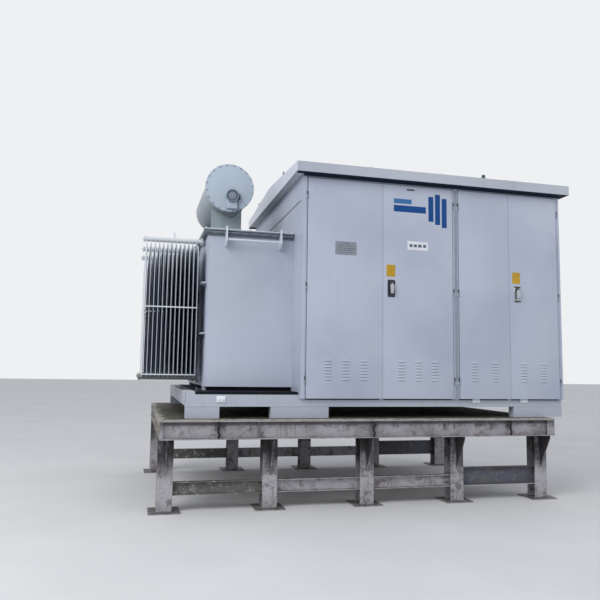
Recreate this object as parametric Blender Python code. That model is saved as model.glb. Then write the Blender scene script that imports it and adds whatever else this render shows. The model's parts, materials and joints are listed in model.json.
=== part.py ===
"""Oil-filled power transformer with a switchgear enclosure on a steel transport stand.

Metres, Z up. The drawing frame below has X = 0 at the left end of the base, Y = 0 at the
front face of the base and Z = 0 at the ground. The empty at the end carries every piece
and puts the middle of the whole outline over the world origin.
"""

import math

import bmesh
import bpy
from mathutils import Matrix, Vector

# Gap left between pieces that touch
GAP = 0.0003
# Depth by which joined shapes reach into each other
BITE = 0.002

# Stand
STAND_LEFT = -0.245
STAND_LENGTH = 4.253
STAND_LEDGE = 0.162
STAND_HEIGHT = 0.894
DECK_PLATE = 0.010
BEAM_HEIGHT = 0.180
BEAM_FLANGE = 0.094
BEAM_FLANGE_THICK = 0.011
BEAM_WEB = 0.008
STIFFENER_PLACES = (0.552, 0.949, 2.137, 3.708)
STIFFENER_THICK = 0.010
STIFFENER_INSET = 0.006
LEG_COUNT = 5
LEG_INSET_LEFT = 0.075
LEG_INSET_RIGHT = 0.058
LEG_SECTION = 0.150
LEG_FLANGE_THICK = 0.010
LEG_WEB = 0.008
LEG_SETBACK = 0.191
FOOT_PLATE = 0.300
FOOT_THICK = 0.012
GUSSET_DROP = 0.360
GUSSET_REACH = 0.180
GUSSET_THICK = 0.012
GUSSET_NOSE = 0.024
RAIL_HEIGHTS = (0.126, 0.126, 0.126, 0.196)
RAIL_BOTTOM = 0.158
RAIL_DEPTH = 0.053
RAIL_WALL = 0.008
RAIL_INSET = 0.006

# Base frame
BASE_DEPTH = 2.700
PAD_HEIGHT = 0.118
CHANNEL_HEIGHT = 0.141
CHANNEL_DEPTH = 0.100
CHANNEL_WALL = 0.010
LEFT_PAD = 0.332
MIDDLE_PAD = (0.850, 1.458)
RIGHT_PAD = 0.612
CROSS_CENTRES = (0.330, 1.020, 2.200, 3.210)
CROSS_WIDTH = 0.094

# Enclosure
ENCLOSURE_LEFT = 1.145
WALL = 0.040
WALL_RISE = 0.0366
FLOOR_THICK = 0.040
FRAME_DEPTH = 0.060
POST_WIDTH = 0.060
SILL_HEIGHT = 0.050
HEADER_HEIGHT = 0.080
ROOF_OVERHANG_FRONT = 0.125
ROOF_OVERHANG_BACK = 0.145
ROOF_OVERHANG_SIDE = 0.085
ROOF_EAVES = 0.104
ROOF_RISE = 0.105
LUG_WIDTH = 0.040
LUG_HEIGHT = 0.042
LUG_THICK = 0.008
LUG_INSET = 0.010
GABLE_LUG_INSET = 0.735
EAVES_LUG_INSET = 2.130

# Doors, left to right, in two pairs that meet in the middle
LEAF = 0.035
LEAF_CLEARANCE = 0.0055
DOOR_LAP = 0.0613
DOOR_HEIGHT = 2.311
DOOR_WIDTHS = (0.830, 0.818, 0.616, 0.618)
DOOR_MEETING = 0.008
LEFT_MARGIN = 0.057
MIDDLE_MARGIN = 0.077
RIGHT_MARGIN = 0.041
DOOR_HINGED_LEFT = (True, False, True, False)
HINGE_OFFSET = 0.010
HINGE_RADIUS = 0.008
HINGE_KNUCKLE = 0.036
HINGE_TAB = 0.020
HINGE_TAB_THICK = 0.007
HINGE_INSET = 0.188
TRIM_CLEARANCE = 0.010
HEADER_CLEARANCE = 0.006

# Pressed louvres near the foot of each door, in columns about the door's middle
LOUVRE_COLUMNS = (3, 3, 2, 2)
LOUVRE_SPACINGS = (0.197, 0.195, 0.250, 0.248)
LOUVRE_SHIFTS = (0.012, -0.007, -0.004, -0.022)
LOUVRE_WIDTH = 0.080
LOUVRE_COUNT = 7
LOUVRE_BOTTOM = 0.192
LOUVRE_PITCH = 0.032
LOUVRE_RISE = 0.020
LOUVRE_STAND = 0.007

# Swing handles on the doors hinged on their right
HANDLE_INSET = 0.093
HANDLE_HEIGHT = 1.222
PLATE_WIDTH = 0.084
PLATE_LENGTH = 0.186
PLATE_THICK = 0.006
ROTOR_RADIUS = 0.021
ROTOR_THICK = 0.009
EAR_THICK = 0.006
EAR_STAND = 0.018
PIVOT_STAND = 0.010
PIN_RADIUS = 0.003
PIN_CLEARANCE = 0.0008
LEVER_WIDTH = 0.022
LEVER_THICK = 0.012
LEVER_LENGTH = 0.110
LEVER_SIDE_PLAY = 0.001
HUB_WALL = 0.003

# Tank
TANK_LEFT = 0.210
TANK_FRONT = 0.345
TANK_FEET = 0.042
TANK_HEIGHT = 1.643
TANK_WALL = 0.010
TANK_RIM = 0.045
TANK_RIM_THICK = 0.014
COVER_THICK = 0.024
COVER_END_GAP = 0.006
FOOT_INSET = 0.110
FOOT_WIDTH = 0.120
RIB_HEIGHTS = (0.555, 1.090)
RIB_REACH = 0.055
RIB_THICK = 0.012
RAIL_BRACKET_INSETS = (0.185, 0.160)
RAIL_BRACKET_THICK = 0.014
RAIL_BRACKET_REACH = 0.110
RAIL_BRACKET_ARM = 0.048
RAIL_BRACKET_DROP = 0.185
RAIL_BRACKET_TOP = 0.018
RAIL_BAR_RADIUS = 0.011
RAIL_BAR_DROP = 0.120
RAIL_RIM_CLEARANCE = 0.003

# Conservator
CONSERVATOR_INSET = 0.260
CONSERVATOR_STAND = 0.558
CONSERVATOR_RADIUS = 0.256
CONSERVATOR_LENGTH = 1.340
CONSERVATOR_WALL = 0.008
END_FLANGE_RADIUS = 0.276
END_FLANGE_THICK = 0.014
SADDLE_WIDTH = 0.350
SADDLE_THICK = 0.014
SADDLE_INSET = 0.240
SADDLE_FOOT = 0.090
SADDLE_FOOT_THICK = 0.012
SADDLE_CLEARANCE = 0.0012
SADDLE_STEPS = 10
SADDLE_GUSSET_REACH = 0.036
SADDLE_GUSSET_RISE = 0.130
SADDLE_GUSSET_THICK = 0.008
SADDLE_GUSSET_SPREAD = 0.105
PIPE_RADIUS = 0.038
PIPE_FLANGE_RADIUS = 0.065
PIPE_FLANGE_THICK = 0.014
GAUGE_RADIUS = 0.074
GAUGE_DEPTH = 0.055
GAUGE_OFFSET_X = 0.028
GAUGE_DROP = 0.098
GAUGE_NECK_WIDTH = 0.120
GAUGE_NECK_DEPTH = 0.030
GAUGE_NECK_DROP = 0.146

# Radiator banks
BANK_COUNT = 3
BANK_SPACING = 0.650
PANEL_COUNT = 13
PANEL_PITCH = 0.045
PANEL_WIDTH = 0.500
PANEL_TOP_DROP = 0.106
PANEL_BOTTOM_RISE = 0.050
PANEL_THICK = 0.016
PANEL_BEVEL = 0.022
PANEL_SHOULDER = 0.050
PANEL_SHOULDER_BEND = math.radians(45)
PANEL_LOWER_SHOULDER = 0.040
PANEL_NECK = 0.030
LAST_PANEL_GAP = 0.090
HEADER_RADIUS = 0.035
HEADER_TOP_DROP = 0.066
HEADER_BOTTOM_RISE = 0.085
HEADER_END = 0.035
HEADER_CAP_RADIUS = 0.044
HEADER_CAP_THICK = 0.012
HEADER_FLANGE_RADIUS = 0.050
HEADER_FLANGE_THICK = 0.014
STUB_LENGTH = 0.032
VENT_RADIUS = 0.009
VENT_HEIGHT = 0.066
TIE_HEIGHT = 0.690
TIE_WIDTH = 0.022
TIE_THICK = 0.008
TIE_OVERHANG = 0.005

# Sides of round pieces, from vessels to pins
VESSEL_SIDES = 32
DIAL_SIDES = 24
ROUND = 16
FINE_ROUND = 12
PIN_SIDES = 8

# Derived levels and places
DECK_TOP = STAND_HEIGHT
BEAM_TOP = STAND_HEIGHT - DECK_PLATE
BEAM_BOTTOM = BEAM_TOP - BEAM_HEIGHT
STAND_RIGHT = STAND_LEFT + STAND_LENGTH
STAND_FRONT = -STAND_LEDGE
STAND_BACK = BASE_DEPTH + STAND_LEDGE
BASE_BOTTOM = STAND_HEIGHT + GAP
PAD_TOP = BASE_BOTTOM + PAD_HEIGHT
BASE_TOP = PAD_TOP + CHANNEL_HEIGHT
FLOOR_LEVEL = BASE_TOP + GAP
DOOR_BOTTOM = BASE_TOP - DOOR_LAP
DOOR_TOP = DOOR_BOTTOM + DOOR_HEIGHT
WALL_TOP = DOOR_TOP + WALL_RISE
ROOF_BOTTOM = WALL_TOP + GAP
LEAF_BACK = -LEAF_CLEARANCE
LEAF_FRONT = LEAF_BACK - LEAF
TRIM_FRONT = LEAF_FRONT
TANK_BASE = BASE_TOP + TANK_FEET
TANK_TOP = TANK_BASE + TANK_HEIGHT
TANK_RIGHT = ENCLOSURE_LEFT - GAP
TANK_BACK = BASE_DEPTH - TANK_FRONT
COVER_BOTTOM = TANK_TOP + GAP
COVER_TOP = COVER_BOTTOM + COVER_THICK
CONSERVATOR_FRONT = (BASE_DEPTH - CONSERVATOR_LENGTH) / 2
CONSERVATOR_BACK = CONSERVATOR_FRONT + CONSERVATOR_LENGTH
CONSERVATOR_X = TANK_LEFT + CONSERVATOR_INSET
CONSERVATOR_Z = COVER_TOP + CONSERVATOR_STAND
HEADER_TOP_Z = TANK_TOP - HEADER_TOP_DROP
HEADER_BOTTOM_Z = TANK_BASE + HEADER_BOTTOM_RISE
PANEL_TOP = HEADER_TOP_Z - PANEL_TOP_DROP
PANEL_BOTTOM = HEADER_BOTTOM_Z + PANEL_BOTTOM_RISE
LAST_PANEL_X = TANK_LEFT - LAST_PANEL_GAP
FIRST_PANEL_X = LAST_PANEL_X - PANEL_PITCH * (PANEL_COUNT - 1)
HEADER_LEFT = FIRST_PANEL_X - HEADER_END
HEADER_RIGHT = TANK_LEFT - STUB_LENGTH - GAP


def door_edges():
    """The left and right edges of each door, from the enclosure's left side."""
    spaces = (LEFT_MARGIN, DOOR_MEETING, MIDDLE_MARGIN, DOOR_MEETING)
    edges = []
    right = ENCLOSURE_LEFT
    for space, width in zip(spaces, DOOR_WIDTHS):
        left = right + space
        right = left + width
        edges.append((left, right))
    return edges


DOOR_EDGES = door_edges()
ENCLOSURE_RIGHT = DOOR_EDGES[-1][1] + RIGHT_MARGIN
BASE_LENGTH = ENCLOSURE_RIGHT
OUTLINE_RIGHT = ENCLOSURE_RIGHT + ROOF_OVERHANG_SIDE
CENTRE = Vector(((HEADER_LEFT + OUTLINE_RIGHT) / 2, BASE_DEPTH / 2, 0))

FINISHES = {
    "stand_steel": ((0.32, 0.31, 0.30), 0.75, 0.0),
    "grey_paint": ((0.42, 0.44, 0.50), 0.45, 0.0),
    "roof_paint": ((0.48, 0.51, 0.54), 0.45, 0.0),
    "conservator_paint": ((0.40, 0.46, 0.52), 0.4, 0.0),
    "radiator_paint": ((0.46, 0.48, 0.51), 0.45, 0.0),
    "door_paint": ((0.43, 0.45, 0.52), 0.42, 0.0),
    "handle_black": ((0.02, 0.02, 0.025), 0.5, 0.0),
    "handle_metal": ((0.45, 0.46, 0.48), 0.35, 1.0),
    "gauge_metal": ((0.30, 0.33, 0.36), 0.4, 0.6),
}


def clear_scene():
    for item in list(bpy.data.objects):
        bpy.data.objects.remove(item, do_unlink=True)


def finish(name, slot):
    """A material of its own for one piece, from its finish."""
    colour, roughness, metallic = FINISHES[slot]
    material = bpy.data.materials.new(name)
    material.use_nodes = True
    shader = material.node_tree.nodes["Principled BSDF"]
    shader.inputs["Base Color"].default_value = (*colour, 1.0)
    shader.inputs["Roughness"].default_value = roughness
    shader.inputs["Metallic"].default_value = metallic
    material.diffuse_color = (*colour, 1.0)
    return material


def to_mesh(shape):
    bmesh.ops.recalc_face_normals(shape, faces=shape.faces)
    mesh = bpy.data.meshes.new("shape")
    shape.to_mesh(mesh)
    shape.free()
    return mesh


def block(x, y, z):
    """A box over the ranges x, y and z."""
    shape = bmesh.new()
    bmesh.ops.create_cube(shape, size=1.0)
    for vert in shape.verts:
        for axis, (low, high) in enumerate((x, y, z)):
            vert.co[axis] = low if vert.co[axis] < 0 else high
    return to_mesh(shape)


def prism(outline, axis, span):
    """An outline in the plane across an axis, extruded over the span along it.

    The outline's points are (y, z), (x, z) or (x, y) for the axes X, Y and Z.
    """
    along = "XYZ".index(axis)
    across = [i for i in range(3) if i != along]
    shape = bmesh.new()
    corners = []
    for point in outline:
        place = [0.0, 0.0, 0.0]
        place[along] = span[0]
        place[across[0]], place[across[1]] = point
        corners.append(shape.verts.new(place))
    face = shape.faces.new(corners)
    grown = bmesh.ops.extrude_face_region(shape, geom=[face])
    moved = [v for v in grown["geom"] if isinstance(v, bmesh.types.BMVert)]
    step = Vector((0, 0, 0))
    step[along] = span[1] - span[0]
    bmesh.ops.translate(shape, verts=moved, vec=step)
    return to_mesh(shape)


def circle_points(centre, radius, sides):
    """Points of a regular polygon whose flats face down and up."""
    turn = math.pi / sides
    return [
        (
            centre[0] + radius * math.sin(turn + 2 * math.pi * i / sides),
            centre[1] + radius * math.cos(turn + 2 * math.pi * i / sides),
        )
        for i in range(sides)
    ]


def rod(axis, centre, radius, span, sides=ROUND):
    return prism(circle_points(centre, radius, sides), axis, span)


def i_outline(centre, width, height, flange, web):
    """An I section, as wide as its flanges along the first axis of its plane."""
    a, b, t, w = width / 2, height / 2, flange, web / 2
    half = [(a, b), (a, b - t), (w, b - t), (w, t - b), (a, t - b), (a, -b)]
    points = half + [(-u, v) for u, v in reversed(half)]
    return [(centre[0] + u, centre[1] + v) for u, v in points]


def channel_outline(back, front, bottom, top, wall):
    """A channel with its web at back and its flanges reaching to front."""
    inner = back + math.copysign(wall, front - back)
    return [
        (back, bottom),
        (front, bottom),
        (front, bottom + wall),
        (inner, bottom + wall),
        (inner, top - wall),
        (front, top - wall),
        (front, top),
        (back, top),
    ]


def placed(name, mesh, location=(0, 0, 0)):
    """An object whose mesh is moved so that its origin is at the location."""
    mesh.transform(Matrix.Translation(-Vector(location)))
    item = bpy.data.objects.new(name, mesh)
    item.location = location
    bpy.context.scene.collection.objects.link(item)
    return item


def combine(item, mesh, operation):
    """Joins a mesh to the object, or cuts it out of it, and keeps the result."""
    helper = bpy.data.objects.new("helper", mesh)
    helper.hide_render = True
    helper.display_type = "WIRE"
    bpy.context.scene.collection.objects.link(helper)
    modifier = item.modifiers.new("shape", "BOOLEAN")
    modifier.operation = operation
    modifier.solver = "EXACT"
    modifier.object = helper
    bpy.context.view_layer.update()
    graph = bpy.context.evaluated_depsgraph_get()
    result = bpy.data.meshes.new_from_object(item.evaluated_get(graph))
    item.modifiers.clear()
    item.data = result
    bpy.data.objects.remove(helper, do_unlink=True)


def piece(name, slot, shapes, cuts=(), origin=(0, 0, 0), smooth=False):
    """One named solid, joined from shapes and cut by cuts, with its own material."""
    item = placed(name, shapes[0])
    for mesh in shapes[1:]:
        combine(item, mesh, "UNION")
    for mesh in cuts:
        combine(item, mesh, "DIFFERENCE")
    item.data.name = name
    item.data.transform(Matrix.Translation(-Vector(origin)))
    item.location = origin
    item.data.materials.clear()
    item.data.materials.append(finish(name, slot))
    if smooth:
        item.data.shade_smooth()
        item.data.set_sharp_from_angle(angle=math.radians(35))
    return item


def mirrored_y(value):
    """The place on the back half that matches a place on the front half of the base."""
    return BASE_DEPTH - value


def stand_y(value, back):
    """A distance in from the front of the stand, or from its back."""
    return STAND_BACK - value if back else STAND_FRONT + value


def leg_centres():
    first = STAND_LEFT + LEG_INSET_LEFT
    step = (STAND_RIGHT - LEG_INSET_RIGHT - first) / (LEG_COUNT - 1)
    return [first + step * i for i in range(LEG_COUNT)]


def build_stand_deck():
    left_cross = STAND_LEFT + BEAM_FLANGE / 2
    right_cross = STAND_RIGHT - BEAM_FLANGE / 2
    centres = (left_cross, *leg_centres()[1:-1], right_cross)
    ends = (STAND_FRONT + BEAM_FLANGE + GAP, STAND_BACK - BEAM_FLANGE - GAP)
    shapes = [
        block(
            (STAND_LEFT, STAND_RIGHT),
            (STAND_FRONT, STAND_BACK),
            (BEAM_TOP + GAP, DECK_TOP),
        )
    ]
    height = BEAM_HEIGHT + GAP + BITE
    middle = BEAM_BOTTOM + height / 2
    for x in centres:
        section = i_outline(
            (x, middle), BEAM_FLANGE, height, BEAM_FLANGE_THICK, BEAM_WEB
        )
        shapes.append(prism(section, "Y", ends))
    return [piece("stand_deck", "stand_steel", shapes)]


def build_stand_beams():
    """The two long beams, with stiffeners across the outer side of their webs."""
    beams = []
    for name, back in (("stand_front_beam", False), ("stand_back_beam", True)):
        centre = (stand_y(BEAM_FLANGE / 2, back), BEAM_BOTTOM + BEAM_HEIGHT / 2)
        section = i_outline(
            centre, BEAM_FLANGE, BEAM_HEIGHT, BEAM_FLANGE_THICK, BEAM_WEB
        )
        shapes = [prism(section, "X", (STAND_LEFT, STAND_RIGHT))]
        web_face = stand_y((BEAM_FLANGE - BEAM_WEB) / 2 + BITE, back)
        plate_y = sorted((stand_y(STIFFENER_INSET, back), web_face))
        plate_z = (
            BEAM_BOTTOM + BEAM_FLANGE_THICK - BITE,
            BEAM_TOP - BEAM_FLANGE_THICK + BITE,
        )
        for place in STIFFENER_PLACES:
            x = STAND_LEFT + place
            shapes.append(block((x, x + STIFFENER_THICK), plate_y, plate_z))
        beams.append(piece(name, "stand_steel", shapes))
    return beams


def build_stand_legs():
    legs = []
    top = BEAM_BOTTOM - GAP
    for row, back in (("front", False), ("back", True)):
        outer = stand_y(LEG_SETBACK, back)
        middle = stand_y(LEG_SETBACK + LEG_SECTION / 2, back)
        tip = stand_y(LEG_SETBACK - GUSSET_REACH, back)
        root = stand_y(LEG_SETBACK + BITE, back)
        for number, x in enumerate(leg_centres(), 1):
            column = prism(
                i_outline(
                    (x, middle), LEG_SECTION, LEG_SECTION, LEG_FLANGE_THICK, LEG_WEB
                ),
                "Z",
                (FOOT_THICK - BITE, top),
            )
            half = FOOT_PLATE / 2
            foot = block(
                (x - half, x + half), (middle - half, middle + half), (0, FOOT_THICK)
            )
            gusset = prism(
                [
                    (root, top),
                    (tip, top),
                    (tip, top - GUSSET_NOSE),
                    (outer, top - GUSSET_DROP),
                    (root, top - GUSSET_DROP),
                ],
                "X",
                (x - GUSSET_THICK / 2, x + GUSSET_THICK / 2),
            )
            name = f"stand_leg_{row}_{number}"
            legs.append(piece(name, "stand_steel", [column, foot, gusset]))
    return legs


def build_stand_rails():
    rails = []
    centres = leg_centres()
    for row, back in (("front", False), ("back", True)):
        mouth = stand_y(LEG_SETBACK + LEG_FLANGE_THICK + RAIL_INSET, back)
        web = stand_y(LEG_SETBACK + LEG_FLANGE_THICK + RAIL_INSET + RAIL_DEPTH, back)
        for number, height in enumerate(RAIL_HEIGHTS, 1):
            start, end = centres[number - 1], centres[number]
            section = channel_outline(
                web, mouth, RAIL_BOTTOM, RAIL_BOTTOM + height, RAIL_WALL
            )
            reach = LEG_WEB / 2 + GAP
            rail = prism(section, "X", (start + reach, end - reach))
            rails.append(piece(f"stand_rail_{row}_{number}", "stand_steel", [rail]))
    return rails


def build_base_sides():
    sides = []
    for name, face, inner in (
        ("base_front_beam", 0.0, CHANNEL_DEPTH),
        ("base_back_beam", BASE_DEPTH, mirrored_y(CHANNEL_DEPTH)),
    ):
        section = channel_outline(face, inner, PAD_TOP, BASE_TOP, CHANNEL_WALL)
        shapes = [prism(section, "X", (0.0, BASE_LENGTH))]
        y = sorted((face, inner))
        right_pad = (BASE_LENGTH - RIGHT_PAD, BASE_LENGTH)
        for span in ((0.0, LEFT_PAD), MIDDLE_PAD, right_pad):
            shapes.append(block(span, y, (BASE_BOTTOM, PAD_TOP + BITE)))
        sides.append(piece(name, "grey_paint", shapes))
    return sides


def build_base_ends():
    ends = []
    inside = (CHANNEL_DEPTH + GAP, mirrored_y(CHANNEL_DEPTH) - GAP)
    for name, face, inner in (
        ("base_left_beam", 0.0, CHANNEL_DEPTH),
        ("base_right_beam", BASE_LENGTH, BASE_LENGTH - CHANNEL_DEPTH),
    ):
        section = channel_outline(face, inner, PAD_TOP, BASE_TOP, CHANNEL_WALL)
        ends.append(piece(name, "grey_paint", [prism(section, "Y", inside)]))
    for number, x in enumerate(CROSS_CENTRES, 1):
        section = i_outline(
            (x, (PAD_TOP + BASE_TOP) / 2),
            CROSS_WIDTH,
            CHANNEL_HEIGHT,
            CHANNEL_WALL,
            CHANNEL_WALL,
        )
        beam = prism(section, "Y", inside)
        ends.append(piece(f"base_cross_beam_{number}", "grey_paint", [beam]))
    return ends


def build_floor_and_walls():
    left, right = ENCLOSURE_LEFT, ENCLOSURE_RIGHT
    tall = (FLOOR_LEVEL, WALL_TOP)
    side_run = (FRAME_DEPTH + GAP, BASE_DEPTH)
    floor = block(
        (left + WALL + GAP, right - WALL - GAP),
        (FRAME_DEPTH + GAP, BASE_DEPTH - WALL - GAP),
        (FLOOR_LEVEL, FLOOR_LEVEL + FLOOR_THICK),
    )
    back_wall = block(
        (left + WALL + GAP, right - WALL - GAP), (BASE_DEPTH - WALL, BASE_DEPTH), tall
    )
    return [
        piece("enclosure_floor", "grey_paint", [floor]),
        piece("left_wall", "grey_paint", [block((left, left + WALL), side_run, tall)]),
        piece("right_wall", "grey_paint", [block((right - WALL, right), side_run, tall)]),
        piece("back_wall", "grey_paint", [back_wall]),
    ]


def hinge_axis(number):
    """Where a door's hinge stands, in X and Y."""
    low, high = DOOR_EDGES[number]
    x = low - HINGE_OFFSET if DOOR_HINGED_LEFT[number] else high + HINGE_OFFSET
    return x, LEAF_FRONT


def hinge_heights():
    low, high = DOOR_BOTTOM + HINGE_INSET, DOOR_TOP - HINGE_INSET
    return low, (low + high) / 2, high


def hinge_shapes(number, on_leaf):
    """The knuckles and tabs of one door's three hinges, for its leaf or for the frame."""
    x, y = hinge_axis(number)
    towards_leaf = 1 if DOOR_HINGED_LEFT[number] else -1
    side = towards_leaf if on_leaf else -towards_leaf
    shapes = []
    for middle in hinge_heights():
        if on_leaf:
            z = (middle, middle + HINGE_KNUCKLE)
        else:
            z = (middle - HINGE_KNUCKLE, middle - GAP)
        shapes.append(rod("Z", (x, y), HINGE_RADIUS, z, FINE_ROUND))
        reach = sorted((x, x + side * HINGE_TAB))
        tab_y = (y - BITE / 2, y - BITE / 2 + HINGE_TAB_THICK)
        shapes.append(block(reach, tab_y, (z[0] + BITE, z[1] - BITE)))
    return shapes


def trim_spans():
    """The proud strips of the frame that show beside the doors, as ranges of X."""
    axes = [hinge_axis(number)[0] for number in range(len(DOOR_EDGES))]
    return (
        (ENCLOSURE_LEFT, axes[0] - TRIM_CLEARANCE),
        (axes[1] + TRIM_CLEARANCE, axes[2] - TRIM_CLEARANCE),
        (axes[3] + TRIM_CLEARANCE, ENCLOSURE_RIGHT),
    )


def trim_outline():
    """The lip over the doors with the strips that hang from it, in X and Z."""
    under_lip = DOOR_TOP + HEADER_CLEARANCE
    points = []
    for low, high in trim_spans():
        points += [(low, under_lip), (low, DOOR_BOTTOM), (high, DOOR_BOTTOM), (high, under_lip)]
    return [*points[1:-1], (ENCLOSURE_RIGHT, WALL_TOP), (ENCLOSURE_LEFT, WALL_TOP)]


def build_front_frame():
    left, right = ENCLOSURE_LEFT, ENCLOSURE_RIGHT
    middle = (DOOR_EDGES[1][1] + DOOR_EDGES[2][0]) / 2
    trim = prism(trim_outline(), "Y", (TRIM_FRONT, BITE))
    frame = block((left, right), (0.0, FRAME_DEPTH), (FLOOR_LEVEL, WALL_TOP))
    shapes = [frame, trim]
    for number in range(len(DOOR_EDGES)):
        shapes += hinge_shapes(number, on_leaf=False)
    through = (-FRAME_DEPTH, 2 * FRAME_DEPTH)
    doorway_z = (FLOOR_LEVEL + SILL_HEIGHT, WALL_TOP - HEADER_HEIGHT)
    before_base = block((left - WALL, right + WALL), (-GAP, WALL), (BASE_BOTTOM, FLOOR_LEVEL))
    cuts = [
        block((left + POST_WIDTH, middle - POST_WIDTH), through, doorway_z),
        block((middle + POST_WIDTH, right - POST_WIDTH), through, doorway_z),
        before_base,
    ]
    return [piece("front_frame", "grey_paint", shapes, cuts)]


def roof_lugs(left, right, front, back, eaves, slope):
    """Upright tabs along the roof's edges: two on each gable, one on each eave."""
    lugs = []
    half = LUG_WIDTH / 2
    for x in (left + LUG_INSET, right - LUG_INSET - LUG_THICK):
        for y in (front + GABLE_LUG_INSET, back - GABLE_LUG_INSET):
            foot = eaves + GABLE_LUG_INSET * slope
            lug_z = (foot - half * slope - BITE, foot + LUG_HEIGHT)
            lugs.append(block((x, x + LUG_THICK), (y - half, y + half), lug_z))
    lug_x = (left + EAVES_LUG_INSET, left + EAVES_LUG_INSET + LUG_WIDTH)
    for y in (front + LUG_INSET, back - LUG_INSET - LUG_THICK):
        lugs.append(block(lug_x, (y, y + LUG_THICK), (eaves - BITE, eaves + LUG_HEIGHT)))
    return lugs


def build_roof():
    left = ENCLOSURE_LEFT - ROOF_OVERHANG_SIDE
    right = ENCLOSURE_RIGHT + ROOF_OVERHANG_SIDE
    front, back = -ROOF_OVERHANG_FRONT, BASE_DEPTH + ROOF_OVERHANG_BACK
    eaves = ROOF_BOTTOM + ROOF_EAVES
    ridge = eaves + ROOF_RISE
    middle = (front + back) / 2
    gable = prism(
        [
            (front, ROOF_BOTTOM),
            (back, ROOF_BOTTOM),
            (back, eaves),
            (middle, ridge),
            (front, eaves),
        ],
        "X",
        (left, right),
    )
    slope = ROOF_RISE / (middle - front)
    lugs = roof_lugs(left, right, front, back, eaves, slope)
    return [piece("roof", "roof_paint", [gable, *lugs])]


def louvre_shapes(number):
    """Pressed hoods whose lower edges stand off the leaf, as small wedges."""
    shapes = []
    count = LOUVRE_COLUMNS[number]
    middle = sum(DOOR_EDGES[number]) / 2 + LOUVRE_SHIFTS[number]
    for column in range(count):
        x = middle + LOUVRE_SPACINGS[number] * (column - (count - 1) / 2)
        for row in range(LOUVRE_COUNT):
            foot = DOOR_BOTTOM + LOUVRE_BOTTOM + row * LOUVRE_PITCH
            wedge = [
                (LEAF_FRONT + BITE, foot),
                (LEAF_FRONT - LOUVRE_STAND, foot),
                (LEAF_FRONT + BITE, foot + LOUVRE_RISE),
            ]
            half = LOUVRE_WIDTH / 2
            shapes.append(prism(wedge, "X", (x - half, x + half)))
    return shapes


def handle_centre(number):
    return DOOR_EDGES[number][0] + HANDLE_INSET, DOOR_BOTTOM + HANDLE_HEIGHT


def build_doors():
    doors = []
    for number, (low, high) in enumerate(DOOR_EDGES):
        leaf = block((low, high), (LEAF_FRONT, LEAF_BACK), (DOOR_BOTTOM, DOOR_TOP))
        shapes = [leaf] + hinge_shapes(number, on_leaf=True) + louvre_shapes(number)
        if not DOOR_HINGED_LEFT[number]:
            x, z = handle_centre(number)
            half = PLATE_WIDTH / 2
            drop = PLATE_LENGTH - half
            plate_y = (LEAF_FRONT - PLATE_THICK, LEAF_FRONT + BITE)
            shapes.append(block((x - half, x + half), plate_y, (z - drop, z + half)))
        origin = (*hinge_axis(number), DOOR_BOTTOM)
        doors.append(piece(f"door_{number + 1}", "door_paint", shapes, origin=origin))
    return doors


def build_handles():
    """A rotor that turns in each handle plate, and a lever that lifts out on its pin."""
    pieces = []
    for number, hinged_left in enumerate(DOOR_HINGED_LEFT):
        if hinged_left:
            continue
        x, z = handle_centre(number)
        seat = LEAF_FRONT - PLATE_THICK - GAP
        face = seat - ROTOR_THICK
        pivot_y = face - PIVOT_STAND
        inner = LEVER_WIDTH / 2 + LEVER_SIDE_PLAY
        outer = inner + EAR_THICK
        ear_half = ROTOR_RADIUS / 2
        shapes = [rod("Y", (x, z), ROTOR_RADIUS, (face, seat), ROUND)]
        for side in (-1, 1):
            span = sorted((x + side * inner, x + side * outer))
            ear_y = (face - EAR_STAND, face + BITE)
            shapes.append(block(span, ear_y, (z - ear_half, z + ear_half)))
        pin_x = (x - outer + BITE, x + outer - BITE)
        shapes.append(rod("X", (pivot_y, z), PIN_RADIUS, pin_x, PIN_SIDES))
        name = f"door_{number + 1}_handle"
        origin = (x, seat, z)
        pieces.append(piece(f"{name}_rotor", "handle_black", shapes, origin=origin))

        half = LEVER_WIDTH / 2
        bore_radius = PIN_RADIUS + PIN_CLEARANCE
        hub_radius = bore_radius + HUB_WALL
        hub = rod("X", (pivot_y, z), hub_radius, (x - half, x + half), FINE_ROUND)
        lever_y = (pivot_y - LEVER_THICK / 2, pivot_y + LEVER_THICK / 2)
        bar_top = z - PIN_RADIUS
        bar = block((x - half, x + half), lever_y, (z - LEVER_LENGTH, bar_top))
        bore_x = (x - LEVER_WIDTH, x + LEVER_WIDTH)
        bore = rod("X", (pivot_y, z), bore_radius, bore_x, PIN_SIDES)
        origin = (x, pivot_y, z)
        pieces.append(
            piece(f"{name}_lever", "handle_metal", [hub, bar], [bore], origin=origin)
        )
    return pieces


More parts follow.
